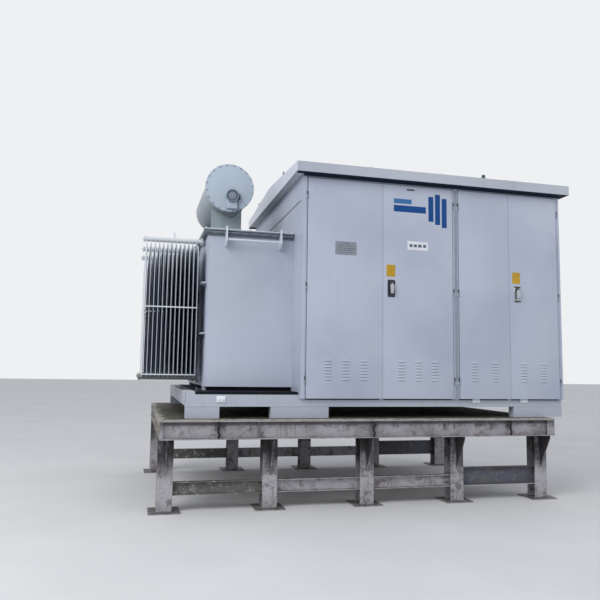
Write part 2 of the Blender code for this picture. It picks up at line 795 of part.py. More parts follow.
def build_tank():
    x = (TANK_LEFT, TANK_RIGHT)
    y = (TANK_FRONT, TANK_BACK)
    rim_top = (TANK_TOP - TANK_RIM_THICK, TANK_TOP)
    rim_x = (TANK_LEFT - TANK_RIM, TANK_RIGHT - COVER_END_GAP)
    rim_y = (TANK_FRONT - TANK_RIM, TANK_BACK + TANK_RIM)
    shapes = [block(x, y, (TANK_BASE, TANK_TOP)), block(rim_x, rim_y, rim_top)]
    for edge in (TANK_FRONT + FOOT_INSET, TANK_BACK - FOOT_INSET - FOOT_WIDTH):
        foot_y = (edge, edge + FOOT_WIDTH)
        shapes.append(block(x, foot_y, (BASE_TOP + GAP, TANK_BASE + BITE)))
    for height in RIB_HEIGHTS:
        z = TANK_BASE + height
        rib_x = (TANK_LEFT - RIB_REACH, TANK_LEFT + BITE)
        shapes.append(block(rib_x, y, (z - RIB_THICK / 2, z + RIB_THICK / 2)))
    for bank_y in bank_centres():
        for z in (HEADER_TOP_Z, HEADER_BOTTOM_Z):
            stub_end = TANK_LEFT - STUB_LENGTH
            shapes.append(
                rod("X", (bank_y, z), HEADER_RADIUS, (stub_end, TANK_LEFT + BITE), FINE_ROUND)
            )
            flange = (stub_end, stub_end + HEADER_FLANGE_THICK)
            shapes.append(rod("X", (bank_y, z), HEADER_FLANGE_RADIUS, flange, FINE_ROUND))
    cavity = block(
        (TANK_LEFT + TANK_WALL, TANK_RIGHT - TANK_WALL),
        (TANK_FRONT + TANK_WALL, TANK_BACK - TANK_WALL),
        (TANK_BASE + TANK_WALL, TANK_TOP + TANK_RIM),
    )
    body = piece("tank_body", "grey_paint", shapes, [cavity])
    cover = block(rim_x, rim_y, (COVER_BOTTOM, COVER_TOP))
    return [body, piece("tank_cover", "grey_paint", [cover])]


def build_tank_rail():
    front = TANK_FRONT - RAIL_BRACKET_REACH
    arm = front + RAIL_BRACKET_ARM
    under_rim = TANK_TOP - TANK_RIM_THICK - RAIL_RIM_CLEARANCE
    top = COVER_TOP + RAIL_BRACKET_TOP
    bottom = COVER_TOP - RAIL_BRACKET_DROP
    outline = [
        (TANK_FRONT - GAP, bottom),
        (TANK_FRONT - GAP, under_rim),
        (arm, under_rim),
        (arm, top),
        (front, top),
        (front, bottom + RAIL_BRACKET_ARM),
        (arm, bottom),
    ]
    half = RAIL_BRACKET_THICK / 2
    low = TANK_LEFT + RAIL_BRACKET_INSETS[0]
    high = TANK_RIGHT - RAIL_BRACKET_INSETS[1]
    bar_place = (front + RAIL_BRACKET_ARM / 2, COVER_TOP - RAIL_BAR_DROP)
    shapes = [rod("X", bar_place, RAIL_BAR_RADIUS, (low, high), FINE_ROUND)]
    for x in (low, high):
        shapes.append(prism(outline, "X", (x - half, x + half)))
    return [piece("tank_front_rail", "grey_paint", shapes)]


def build_conservator():
    centre = (CONSERVATOR_X, CONSERVATOR_Z)
    front, back = CONSERVATOR_FRONT, CONSERVATOR_BACK
    shell_front = front + END_FLANGE_THICK + GAP
    sides = VESSEL_SIDES
    shell = rod("Y", centre, CONSERVATOR_RADIUS, (shell_front, back), sides)
    collar_y = (shell_front, shell_front + END_FLANGE_THICK)
    collar = rod("Y", centre, END_FLANGE_RADIUS, collar_y, sides)
    inner_radius = CONSERVATOR_RADIUS - CONSERVATOR_WALL
    hollow_y = (shell_front - CONSERVATOR_WALL, back - CONSERVATOR_WALL)
    hollow = rod("Y", centre, inner_radius, hollow_y, sides)
    plate = rod("Y", centre, END_FLANGE_RADIUS, (front, front + END_FLANGE_THICK), sides)
    return [
        piece("conservator_shell", "conservator_paint", [shell, collar], [hollow], smooth=True),
        piece("conservator_end_plate", "conservator_paint", [plate], smooth=True),
    ]


def saddle_outline():
    """A plate under the vessel whose top follows the vessel's side, with a small gap."""
    half = SADDLE_WIDTH / 2
    radius = CONSERVATOR_RADIUS + SADDLE_CLEARANCE
    reach = math.asin(half / radius)
    bottom = COVER_TOP + GAP
    points = [(CONSERVATOR_X - half, bottom), (CONSERVATOR_X + half, bottom)]
    for i in range(SADDLE_STEPS + 1):
        angle = reach - 2 * reach * i / SADDLE_STEPS
        points.append(
            (
                CONSERVATOR_X + radius * math.sin(angle),
                CONSERVATOR_Z - radius * math.cos(angle),
            )
        )
    return points


def saddle_gussets(y, side):
    """Two upright corner plates between a saddle's outer face and its foot."""
    bottom = COVER_TOP + GAP + SADDLE_FOOT_THICK - BITE
    face = y + side * (SADDLE_THICK / 2 - BITE)
    outline = [
        (face, bottom),
        (face + side * SADDLE_GUSSET_REACH, bottom),
        (face, bottom + SADDLE_GUSSET_RISE),
    ]
    half = SADDLE_GUSSET_THICK / 2
    centres = (CONSERVATOR_X - SADDLE_GUSSET_SPREAD, CONSERVATOR_X + SADDLE_GUSSET_SPREAD)
    return [prism(outline, "X", (x - half, x + half)) for x in centres]


def build_saddles():
    saddles = []
    for row, y, side in (
        ("front", CONSERVATOR_FRONT + SADDLE_INSET, -1),
        ("back", CONSERVATOR_BACK - SADDLE_INSET, 1),
    ):
        plate = prism(saddle_outline(), "Y", (y - SADDLE_THICK / 2, y + SADDLE_THICK / 2))
        half = SADDLE_WIDTH / 2
        foot = block(
            (CONSERVATOR_X - half, CONSERVATOR_X + half),
            (y - SADDLE_FOOT / 2, y + SADDLE_FOOT / 2),
            (COVER_TOP + GAP, COVER_TOP + GAP + SADDLE_FOOT_THICK),
        )
        shapes = [plate, foot, *saddle_gussets(y, side)]
        saddles.append(piece(f"conservator_saddle_{row}", "conservator_paint", shapes))
    return saddles


def build_conservator_pipe():
    centre = (CONSERVATOR_X, BASE_DEPTH / 2)
    low = COVER_TOP + GAP
    high = CONSERVATOR_Z - CONSERVATOR_RADIUS - GAP
    shapes = [
        rod("Z", centre, PIPE_RADIUS, (low, high)),
        rod("Z", centre, PIPE_FLANGE_RADIUS, (low, low + PIPE_FLANGE_THICK)),
    ]
    return [piece("conservator_pipe", "conservator_paint", shapes, smooth=True)]


def build_gauge():
    x = CONSERVATOR_X + GAUGE_OFFSET_X
    z = CONSERVATOR_Z - GAUGE_DROP
    back = CONSERVATOR_FRONT - GAP
    dial = rod("Y", (x, z), GAUGE_RADIUS, (back - GAUGE_DEPTH, back), DIAL_SIDES)
    half = GAUGE_NECK_WIDTH / 2
    neck = block(
        (x - half, x + half), (back - GAUGE_NECK_DEPTH, back), (z - GAUGE_NECK_DROP, z)
    )
    return [piece("oil_gauge", "gauge_metal", [dial, neck], smooth=True)]


def bank_centres():
    middle = BASE_DEPTH / 2
    first = middle - BANK_SPACING * (BANK_COUNT - 1) / 2
    return [first + BANK_SPACING * i for i in range(BANK_COUNT)]


def panel_ring(y, inset):
    """The outline of a cooling panel in Y and Z, drawn in by an inset."""
    half = PANEL_WIDTH / 2 - inset
    neck = PANEL_NECK - inset
    top, bottom = PANEL_TOP, PANEL_BOTTOM
    over = HEADER_TOP_Z
    under = HEADER_BOTTOM_Z
    shoulder_top = top + PANEL_SHOULDER - inset
    shoulder_bottom = bottom - PANEL_LOWER_SHOULDER + inset
    bend = PANEL_SHOULDER_BEND
    right = [
        (neck, under),
        (neck, shoulder_bottom),
        (half, bottom),
        (half, top),
        (
            neck + (half - neck) * math.cos(bend),
            top + (shoulder_top - top) * math.sin(bend),
        ),
        (neck, shoulder_top),
        (neck, over),
    ]
    points = right + [(-u, v) for u, v in reversed(right)]
    return [(y + u, v) for u, v in points]


def cooling_panel(x, y):
    """A pressed panel: a thick middle that thins to a welded seam all round."""
    shape = bmesh.new()
    rings = []
    for offset, inset in (
        (-PANEL_THICK / 2, PANEL_BEVEL),
        (0.0, 0.0),
        (PANEL_THICK / 2, PANEL_BEVEL),
    ):
        ring = [shape.verts.new((x + offset, u, v)) for u, v in panel_ring(y, inset)]
        rings.append(ring)
    for low, high in zip(rings, rings[1:]):
        count = len(low)
        for i in range(count):
            j = (i + 1) % count
            shape.faces.new((low[i], low[j], high[j], high[i]))
    shape.faces.new(rings[0])
    shape.faces.new(rings[-1])
    return to_mesh(shape)


def build_radiators():
    banks = []
    for number, y in enumerate(bank_centres(), 1):
        shapes = []
        for z in (HEADER_TOP_Z, HEADER_BOTTOM_Z):
            pipe = (HEADER_LEFT + HEADER_CAP_THICK - BITE, HEADER_RIGHT)
            shapes.append(rod("X", (y, z), HEADER_RADIUS, pipe, FINE_ROUND))
            cap = (HEADER_LEFT, HEADER_LEFT + HEADER_CAP_THICK)
            shapes.append(rod("X", (y, z), HEADER_CAP_RADIUS, cap, FINE_ROUND))
            flange = (HEADER_RIGHT - HEADER_FLANGE_THICK, HEADER_RIGHT)
            shapes.append(rod("X", (y, z), HEADER_FLANGE_RADIUS, flange, FINE_ROUND))
        crown = HEADER_TOP_Z + HEADER_RADIUS
        vent_x = (FIRST_PANEL_X + LAST_PANEL_X + PANEL_PITCH) / 2
        vent_z = (crown - BITE, crown + VENT_HEIGHT)
        shapes.append(rod("Z", (vent_x, y), VENT_RADIUS, vent_z, PIN_SIDES))
        panels = [
            cooling_panel(FIRST_PANEL_X + PANEL_PITCH * i, y) for i in range(PANEL_COUNT)
        ]
        tie_z = PANEL_BOTTOM + TIE_HEIGHT
        ties = []
        for side in (-1, 1):
            edge = y + side * PANEL_WIDTH / 2
            tie_y = sorted((edge - side * TIE_THICK / 2, edge + side * TIE_THICK / 2))
            tie_x = (FIRST_PANEL_X - TIE_OVERHANG, LAST_PANEL_X + TIE_OVERHANG)
            ties.append(block(tie_x, tie_y, (tie_z - TIE_WIDTH / 2, tie_z + TIE_WIDTH / 2)))
        name = f"radiator_bank_{number}"
        banks.append(piece(name, "radiator_paint", [*panels[:1], *shapes, *panels[1:], *ties]))
    return banks


def main():
    clear_scene()
    pieces = []
    for build in (
        build_stand_deck,
        build_stand_beams,
        build_stand_legs,
        build_stand_rails,
        build_base_sides,
        build_base_ends,
        build_floor_and_walls,
        build_front_frame,
        build_roof,
        build_doors,
        build_handles,
        build_tank,
        build_tank_rail,
        build_conservator,
        build_saddles,
        build_conservator_pipe,
        build_gauge,
        build_radiators,
    ):
        pieces += build()
    carrier = bpy.data.objects.new("power_transformer", None)
    carrier.location = -CENTRE
    bpy.context.scene.collection.objects.link(carrier)
    for item in pieces:
        item.parent = carrier


main()
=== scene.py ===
"""The looks of an oil-filled power transformer with a door enclosure on a steel stand.

Lengths are in metres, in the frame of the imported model: +X runs along the front from the
radiators to the enclosure, +Y from the doors to the back, and Z = 0 is the ground. Every
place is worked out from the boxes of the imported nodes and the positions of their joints.
"""

from __future__ import annotations

import json
import logging
import math
from dataclasses import dataclass
from enum import Enum

import bpy
import numpy as np
from mathutils import Matrix, Vector

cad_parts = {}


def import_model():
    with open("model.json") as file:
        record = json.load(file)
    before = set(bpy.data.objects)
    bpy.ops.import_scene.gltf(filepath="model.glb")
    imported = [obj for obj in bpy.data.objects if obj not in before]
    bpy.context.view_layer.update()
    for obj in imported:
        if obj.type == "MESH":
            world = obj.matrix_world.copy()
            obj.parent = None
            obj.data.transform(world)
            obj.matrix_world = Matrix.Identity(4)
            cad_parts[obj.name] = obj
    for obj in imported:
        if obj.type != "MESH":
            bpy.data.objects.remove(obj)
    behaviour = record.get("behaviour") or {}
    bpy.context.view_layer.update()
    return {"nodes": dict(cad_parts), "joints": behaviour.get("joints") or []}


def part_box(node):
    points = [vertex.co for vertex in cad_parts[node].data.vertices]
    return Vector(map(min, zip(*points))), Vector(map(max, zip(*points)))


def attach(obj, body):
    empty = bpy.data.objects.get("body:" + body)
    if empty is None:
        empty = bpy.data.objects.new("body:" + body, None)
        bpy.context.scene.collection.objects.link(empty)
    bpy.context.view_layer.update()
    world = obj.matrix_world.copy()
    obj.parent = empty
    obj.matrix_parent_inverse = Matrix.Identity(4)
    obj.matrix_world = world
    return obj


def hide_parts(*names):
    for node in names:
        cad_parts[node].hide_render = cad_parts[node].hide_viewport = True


LOG = logging.getLogger("power_transformer")
CLEAR = 0.001  # a hair's breadth, by which a detail laps or clears what it sits on
ROWS = (("front", -1), ("back", 1))  # the stand's rows, and the way along Y that each faces
Array = np.ndarray
Colour = tuple[float, float, float]


class Facing(Enum):
    """Where a shape's own X, Y and Z axes point once it is turned to face a side."""

    FRONT = ((1, 0, 0), (0, 0, 1), (0, -1, 0))
    BACK = ((-1, 0, 0), (0, 0, 1), (0, 1, 0))
    LEFT = ((0, -1, 0), (0, 0, 1), (-1, 0, 0))
    RIGHT = ((0, 1, 0), (0, 0, 1), (1, 0, 0))
    DOWN = ((-1, 0, 0), (0, 1, 0), (0, 0, -1))


@dataclass
class Shape:
    """A surface as points and groups of faces, each group with one corner count."""

    points: Array
    faces: list[Array]

    def __add__(self, other: Shape) -> Shape:
        """Both surfaces in one mesh."""
        shifted = [group + len(self.points) for group in other.faces]
        return Shape(np.vstack([self.points, other.points]), self.faces + shifted)

    def moved(self, x: float = 0.0, y: float = 0.0, z: float = 0.0) -> Shape:
        """The surface shifted by x, y and z."""
        return Shape(self.points + np.array([x, y, z]), self.faces)

    def turned(self, facing: Facing) -> Shape:
        """The surface with its own axes laid along those of the facing."""
        return Shape(self.points @ np.array(facing.value, float), self.faces)

    def spun(self, angle: float) -> Shape:
        """The surface turned about its own Z axis by an angle in radians."""
        c, s = math.cos(angle), math.sin(angle)
        return Shape(self.points @ np.array([[c, s, 0], [-s, c, 0], [0, 0, 1]]), self.faces)

    def repeated(self, offsets: Array) -> Shape:
        """Copies of the surface, one at each offset.

        Args:
            offsets: rows of x, y and z.

        Returns:
            One surface: the points plus each offset, with the faces counted on.
        """
        offsets = np.atleast_2d(np.asarray(offsets, float))
        count = len(self.points)
        points = (self.points[None] + offsets[:, None]).reshape(-1, 3)
        step = count * np.arange(len(offsets))[:, None, None]
        return Shape(points, [(g[None] + step).reshape(-1, g.shape[1]) for g in self.faces])


def joined(shapes: list[Shape]) -> Shape:
    """All the surfaces as one."""
    total = shapes[0]
    for shape in shapes[1:]:
        total = total + shape
    return total


def offsets_of(x: Array, y: Array, z: Array) -> Array:
    """Rows of x, y and z for every mix of the three lists of places."""
    grid = np.meshgrid(np.atleast_1d(x), np.atleast_1d(y), np.atleast_1d(z), indexing="ij")
    return np.stack(grid, -1).reshape(-1, 3)


def ring_surface(rings: Array) -> Shape:
    """A closed surface through a stack of rings.

    Point (i, j) of ring i joins its neighbours (i, j + 1), (i + 1, j + 1) and (i + 1, j),
    with j counted round, and one flat face closes each end.

    Args:
        rings: (rings, points, 3), each ring anticlockwise about the way the stack runs.

    Returns:
        The surface.
    """
    count, around = rings.shape[:2]
    index = np.arange(count * around).reshape(count, around)
    low, high = index[:-1], index[1:]
    quads = np.stack([low, np.roll(low, -1, 1), np.roll(high, -1, 1), high], -1)
    caps = np.stack([index[0][::-1], index[-1]])
    return Shape(rings.reshape(-1, 3), [quads.reshape(-1, 4), caps])


def corner_arcs(steps: int) -> tuple[Array, Array]:
    """For each point of four quarter circles, its corner's signs and its unit arm."""
    turn = np.linspace(0, math.pi / 2, steps + 1)
    angle = (np.arange(4)[:, None] * math.pi / 2 + turn).ravel()
    signs = np.repeat([[1, 1], [-1, 1], [-1, -1], [1, -1]], steps + 1, axis=0)
    return signs, np.stack([np.cos(angle), np.sin(angle)], -1)


def rounded_rectangle(width: float, depth: float, radius: float, steps: int = 2) -> Array:
    """Corner arcs of a radius about the four inner corners, as rows of x and y."""
    signs, arms = corner_arcs(steps)
    return signs * (np.array([width, depth]) / 2 - radius) + radius * arms


def block(low: tuple, high: tuple, edge: float = 0.002, steps: int = 1) -> Shape:
    """A box with rounded edges.

    Each ring is a rounded rectangle whose corner radius is the edge radius times the sine
    of a latitude, at the edge radius times one minus its cosine from the nearer end.

    Args:
        low: its lowest corner.
        high: its highest corner.
        edge: the radius of every edge.
        steps: how many facets an edge has.

    Returns:
        One closed surface.
    """
    low, high = np.array(low, float), np.array(high, float)
    size = high - low
    edge = min(edge, 0.45 * size.min())
    turn = np.linspace(math.radians(20), math.pi / 2, steps + 1)
    rise = edge * (math.cos(turn[0]) - np.cos(turn))
    reach = np.concatenate([np.sin(turn), np.sin(turn)[::-1]]) * edge
    heights = np.concatenate([rise, size[2] - rise[::-1]])
    signs, arms = corner_arcs(steps)
    centre = signs * (size[:2] / 2 - edge) + (low[:2] + high[:2]) / 2
    flat = centre[None] + reach[:, None, None] * arms[None]
    tall = np.broadcast_to((low[2] + heights)[:, None, None], (*flat.shape[:2], 1))
    return ring_surface(np.concatenate([flat, tall], -1))


def lathe(profile: list[tuple[float, float]], sides: int = 32, start: float = 0.0) -> Shape:
    """A profile of radius and height turned about Z: x = r cos a, y = r sin a, z = h."""
    radius, height = np.array(profile, float).T
    angle = start + 2 * math.pi * np.arange(sides) / sides
    x = radius[:, None] * np.cos(angle)
    y = radius[:, None] * np.sin(angle)
    z = np.broadcast_to(height[:, None], x.shape)
    return ring_surface(np.stack([x, y, z], -1))


def drawn_in(outline: Array, inset: float) -> Array:
    """An anticlockwise outline moved inwards, each corner along the mean of its normals."""
    edge = np.roll(outline, -1, 0) - outline
    edge = edge / np.linalg.norm(edge, axis=1, keepdims=True)
    normal = np.stack([edge[:, 1], -edge[:, 0]], -1)
    before = np.roll(normal, 1, 0)
    share = 1 + (normal * before).sum(1, keepdims=True)
    return outline - inset * (normal + before) / np.maximum(share, 0.3)


def prism(outline: Array, length: float, edge: float = 0.0) -> Shape:
    """An anticlockwise outline of x and y, drawn out along Z with chamfered ends."""
    outline = np.asarray(outline, float)
    insets = [edge, 0.0, 0.0, edge] if edge else [0.0, 0.0]
    heights = [0.0, edge, length - edge, length] if edge else [0.0, length]
    rings = [
        np.column_stack([drawn_in(outline, inset), np.full(len(outline), height)])
        for inset, height in zip(insets, heights)
    ]
    return ring_surface(np.array(rings))


def smooth_path(points: list[tuple], count: int) -> Array:
    """A curve through points: between each pair runs a cubic, whose slope at a point is
    half the way from the point before it to the point after it."""
    p = np.asarray(points, float)
    p = np.vstack([2 * p[0] - p[1], p, 2 * p[-1] - p[-2]])
    t = np.linspace(0, len(p) - 3 - 1e-9, count)
    i, s = t.astype(int), (t % 1)[:, None]
    a, b, c, d = p[i], p[i + 1], p[i + 2], p[i + 3]
    cubic = (3 * b - a - 3 * c + d) * s**3 + (2 * a - 5 * b + 4 * c - d) * s**2
    return 0.5 * (cubic + (c - a) * s + 2 * b)


def tube(path: Array, radius: float, sides: int = 10, up: tuple = (0, 0, 1)) -> Shape:
    """A round bar along a path: each ring is the path's point plus the radius times
    cos a along the upward normal and sin a along the sideways one.

    Args:
        path: (points, 3) along the middle line.
        radius: of the bar.
        sides: facets round it.
        up: a direction that the path never follows.

    Returns:
        The bar with flat ends.
    """
    path = np.asarray(path, float)
    along = np.gradient(path, axis=0)
    along /= np.linalg.norm(along, axis=1, keepdims=True)
    side = np.cross(along, up)
    side /= np.linalg.norm(side, axis=1, keepdims=True)
    over = np.cross(side, along)
    angle = 2 * math.pi * np.arange(sides) / sides
    ring = np.cos(angle)[None, :, None] * over[:, None] + np.sin(angle)[None, :, None] * side[:, None]
    return ring_surface(path[:, None] + radius * ring)


def run(start: tuple, end: tuple, count: int = 2) -> Array:
    """Evenly spaced points from a start to an end."""
    return np.linspace(start, end, count)


def bolt(across: float = 0.019, stud: float = 0.004) -> Shape:
    """A washer, a six-sided head and a stub of thread, standing along Z.

    Args:
        across: the head's width across its flats.
        stud: how far the thread shows above the head.

    Returns:
        The three as one surface.
    """
    r = across / math.sqrt(3)
    washer = lathe([(r * 1.22, 0), (r * 1.22, 0.002), (r * 1.1, 0.0024)], 12)
    head = lathe([(r, 0.002), (r, 0.008), (r * 0.84, 0.0095)], 6)
    thread = lathe([(r * 0.5, 0.008), (r * 0.5, 0.0095 + stud), (r * 0.4, 0.0105 + stud)], 8)
    return washer + head + thread


def ring_of(radius: float, count: int, start: float = 0.0) -> Array:
    """Offsets evenly round a circle in the shape's own XY plane."""
    angle = start + 2 * math.pi * np.arange(count) / count
    return np.column_stack([radius * np.cos(angle), radius * np.sin(angle), np.zeros(count)])


def ease(value: Array) -> Array:
    """Three times the square less twice the cube, held between 0 and 1."""
    t = np.clip(value, 0, 1)
    return t * t * (3 - 2 * t)


def linear(red: int, green: int, blue: int) -> Colour:
    """A screen colour of 0 to 255 as the linear values that a shader takes."""
    part = np.array([red, green, blue]) / 255
    curve = np.where(part <= 0.04045, part / 12.92, ((part + 0.055) / 1.055) ** 2.4)
    return tuple(float(v) for v in curve)


class Graph:
    """A material's nodes, with short calls for the patterns that the finishes share."""

    def __init__(self, name: str) -> None:
        """An empty material whose shader is at hand."""
        self.material = bpy.data.materials.new(name)
        self.material.use_nodes = True
        self.tree = self.material.node_tree
        self.shader = self.tree.nodes["Principled BSDF"]
        self.place = self.tree.nodes.new("ShaderNodeTexCoord").outputs["Object"]

    def node(self, kind: str, inputs: dict, **settings: object) -> bpy.types.Node:
        """A node with its settings and inputs, each input a value or a socket."""
        made = self.tree.nodes.new(f"ShaderNode{kind}")
        for key, value in settings.items():
            setattr(made, key, value)
        for key, value in inputs.items():
            if isinstance(value, bpy.types.NodeSocket):
                self.tree.links.new(value, made.inputs[key])
            else:
                made.inputs[key].default_value = value
        return made

    def mapped(self, stretch: tuple = (1, 1, 1), shift: tuple = (0, 0, 0)) -> bpy.types.NodeSocket:
        """The place on the piece, stretched and shifted."""
        node = self.node("Mapping", {"Vector": self.place, "Scale": stretch, "Location": shift})
        return node.outputs[0]

    def noise(
        self, scale: float, detail: float = 4.0, stretch: tuple = (1, 1, 1), shift: float = 0.0,
        rough: float = 0.55,
    ) -> bpy.types.NodeSocket:
        """Cloudy noise of a size, from 0 to 1."""
        place = self.mapped(stretch, (shift, shift * 1.7, shift * 0.6))
        inputs = {"Vector": place, "Scale": scale, "Detail": detail, "Roughness": rough}
        return self.node("TexNoise", inputs).outputs[0]

    def band(
        self, value: bpy.types.NodeSocket, low: float, high: float, to: tuple = (0.0, 1.0)
    ) -> bpy.types.NodeSocket:
        """A value eased from one limit to another."""
        inputs = {0: value, 1: low, 2: high, 3: to[0], 4: to[1]}
        return self.node("MapRange", inputs, interpolation_type="SMOOTHSTEP").outputs[0]

    def sum(self, kind: str, a: object, b: object) -> bpy.types.NodeSocket:
        """Two values added, multiplied, or joined by another sum, held from 0 to 1."""
        return self.node("Math", {0: a, 1: b}, operation=kind, use_clamp=True).outputs[0]

    def mix(self, share: object, a: object, b: object) -> bpy.types.NodeSocket:
        """Colour a passing into colour b by a share."""
        ready = [(*c, 1.0) if isinstance(c, tuple) else c for c in (a, b)]
        made = self.node("Mix", {0: share, 6: ready[0], 7: ready[1]}, data_type="RGBA")
        return made.outputs[2]

    def upward(self) -> bpy.types.NodeSocket:
        """How far the surface faces up, from 0 to 1."""
        normal = self.tree.nodes.new("ShaderNodeNewGeometry").outputs["Normal"]
        z = self.node("SeparateXYZ", {0: normal}).outputs[2]
        return self.band(z, 0.3, 0.95)

    def sideways(self, least: float = 0.45) -> bpy.types.NodeSocket:
        """How far the surface faces along X, from 0 to 1, on either side."""
        normal = self.tree.nodes.new("ShaderNodeNewGeometry").outputs["Normal"]
        x = self.node("SeparateXYZ", {0: normal}).outputs[0]
        return self.band(self.node("Math", {0: x}, operation="ABSOLUTE").outputs[0], least, 0.95)

    def attribute(self, name: str) -> bpy.types.NodeSocket:
        """A number that each point of the piece carries."""
        made = self.node("Attribute", {}, attribute_name=name)
        return made.outputs["Fac"]

    def from_middle(self, axis: int, middle: float) -> bpy.types.NodeSocket:
        """How far a place lies from a middle plane along one axis."""
        along = self.node("SeparateXYZ", {0: self.place}).outputs[axis]
        away = self.node("Math", {0: along, 1: middle}, operation="SUBTRACT").outputs[0]
        return self.node("Math", {0: away}, operation="ABSOLUTE").outputs[0]

    def height(self) -> bpy.types.NodeSocket:
        """The height above the ground."""
        return self.node("SeparateXYZ", {0: self.place}).outputs[2]

    def bump(self, height: bpy.types.NodeSocket, strength: float, distance: float) -> None:
        """Relief of a depth, laid over any that the shader already has."""
        inputs = {"Height": height, "Strength": strength, "Distance": distance}
        normal = self.shader.inputs["Normal"]
        if normal.is_linked:
            inputs["Normal"] = normal.links[0].from_socket
        self.tree.links.new(self.node("Bump", inputs).outputs[0], normal)

    def set(self, socket: str, value: object) -> None:
        """A number, colour or socket for one input of the shader."""
        if isinstance(value, bpy.types.NodeSocket):
            self.tree.links.new(value, self.shader.inputs[socket])
        elif isinstance(value, tuple):
            self.shader.inputs[socket].default_value = (*value, 1.0)
        else:
            self.shader.inputs[socket].default_value = value


@dataclass(frozen=True)
class Finish:
    """The base of every finish: a name, and a material made once and shared."""

    name: str
    slot: str | None

    def material(self) -> bpy.types.Material:
        """The finish's material, made the first time that it is asked for."""
        return bpy.data.materials.get(self.name) or self.made()

    def made(self) -> bpy.types.Material:
        """A new material. Each kind of finish has its own."""
        raise NotImplementedError


@dataclass(frozen=True)
class WearLevels:
    """Heights above the ground between which each kind of wear, painted shade and painted light comes in."""

    # painted light on the lower part of a wall fades in between these heights
    painted_light: tuple = (2.3, 1.25)
    foot_plate: tuple = (0.0135, 0.0125)
    bright_legs: tuple = (0.40, 0.24)
    blots: tuple = (0.62, 0.50)
    rust: tuple = (0.75, 0.0)
    # leg sides and streaks place dark that is partly dirt and partly painted shade
    leg_sides: tuple = (0.31, 0.42)
    streaks: tuple = (0.33, 0.62)
    below_beam: tuple = (0.706, 0.700)
    # corner, shade and below_flange place the painted shadow under the beam's upper flange
    corner: tuple = (0.815, 0.900)
    shade: tuple = (0.824, 0.846)
    below_flange: tuple = (0.8735, 0.872)
    flange_edge: tuple = (0.8725, 0.8740)


LEVELS = WearLevels()
# painted shade between the radiator panels, bluish
PANEL_GAP_SHADE = (0.036, 0.058, 0.118)
# the tone of the stand's dark places: partly dirt, partly painted shade
SHADE_AND_DIRT = (0.030, 0.025, 0.026)
RUN_GREY = (0.075, 0.06, 0.055)
MOTTLE_GREY = (0.085, 0.075, 0.075)
SPECK_PALE = (0.40, 0.385, 0.375)
BLOT_GREY = (0.095, 0.085, 0.080)
MOSS = (0.14, 0.150, 0.11)
RUST_DARK = (0.060, 0.028, 0.018)
RUST_LIGHT = (0.17, 0.080, 0.040)
EDGE_PALE = (0.36, 0.36, 0.35)
SILT = (0.085, 0.078, 0.062)
GROWTH_DARK = (0.050, 0.046, 0.036)
GROWTH_LIGHT = (0.105, 0.098, 0.075)
DECK_GRIME = (0.16, 0.145, 0.12)
DECK_CHIP = (0.06, 0.030, 0.020)


@dataclass(frozen=True)
class SprayedPaint(Finish):
    """Paint sprayed on sheet steel, with faint runs of dirt and dust on what faces up."""

    colour: Colour
    roughness: float = 0.42
    dirt: float = 0.25
    waves: float = 0.35
    # shaded sides is painted shade; lit foot and lit sides are painted light
    shaded_sides: float = 0.0
    lit_foot: float = 0.0
    lit_sides: float = 0.0

    def made(self) -> bpy.types.Material:
        """Tone clouds, vertical runs, dust, fine orange peel and the sheet's slow waves.

        Shaded sides are the share of painted shade on what faces along X, where the piece's own
        attribute says so. A lit foot is how far the lower part of a wall is lightened, as painted
        light, and lit sides how far the faces along X are lightened, also painted light.
        """
        g = Graph(self.name)
        r, gr, b = self.colour
        pale = (min(1, r * 1.07), min(1, gr * 1.07), min(1, b * 1.06))
        deep = (r * 0.90, gr * 0.91, b * 0.93)
        grime = (r * 0.55, gr * 0.52, b * 0.46)
        dust = (0.5 + r * 0.25, 0.5 + gr * 0.24, 0.46 + b * 0.24)
        tone = g.mix(g.band(g.noise(0.9, 3), 0.3, 0.7), deep, pale)
        runs = g.noise(26, 6, (1, 1, 0.035), 3.1, 0.7)
        patches = g.noise(2.2, 5, (1, 1, 0.5), 7.7)
        run_mask = g.sum("MULTIPLY", g.band(runs, 0.52, 0.78), g.band(patches, 0.42, 0.7))
        run_mask = g.sum("MULTIPLY", run_mask, self.dirt * 1.6)
        stains = g.sum("MULTIPLY", g.band(g.noise(5.5, 8, rough=0.7), 0.60, 0.80), self.dirt)
        tone = g.mix(g.sum("ADD", run_mask, stains), tone, grime)
        # painted shade on the faces along X between the panels, as the piece's attribute gives it
        if self.shaded_sides:
            share = g.sum("MULTIPLY", g.sideways(0.25), self.shaded_sides)
            tone = g.mix(g.sum("MULTIPLY", share, g.attribute("soot")), tone, PANEL_GAP_SHADE)
        # the lightened tone for the painted light on the sides and the foot
        painted_light = tuple(min(1.0, c * 1.5) for c in self.colour)
        if self.lit_sides:
            tone = g.mix(g.sum("MULTIPLY", g.sideways(), self.lit_sides), tone, painted_light)
        if self.lit_foot:
            tone = g.mix(g.band(g.height(), *LEVELS.painted_light, (0.0, self.lit_foot)), tone, painted_light)
        settled = g.sum("MULTIPLY", g.upward(), g.band(g.noise(7, 6), 0.25, 0.8, (0.15, 0.65)))
        g.set("Base Color", g.mix(settled, tone, dust))
        worn = g.band(g.noise(9, 5, shift=5.0), 0.3, 0.75, (self.roughness - 0.05, self.roughness + 0.12))
        g.set("Roughness", g.sum("ADD", worn, g.sum("MULTIPLY", settled, 0.35)))
        g.set("Specular IOR Level", 0.4)
        g.bump(g.noise(1.3, 2, shift=2.0), self.waves, 0.004)
        g.bump(g.noise(420, 2), 0.08, 0.0004)
        return g.material


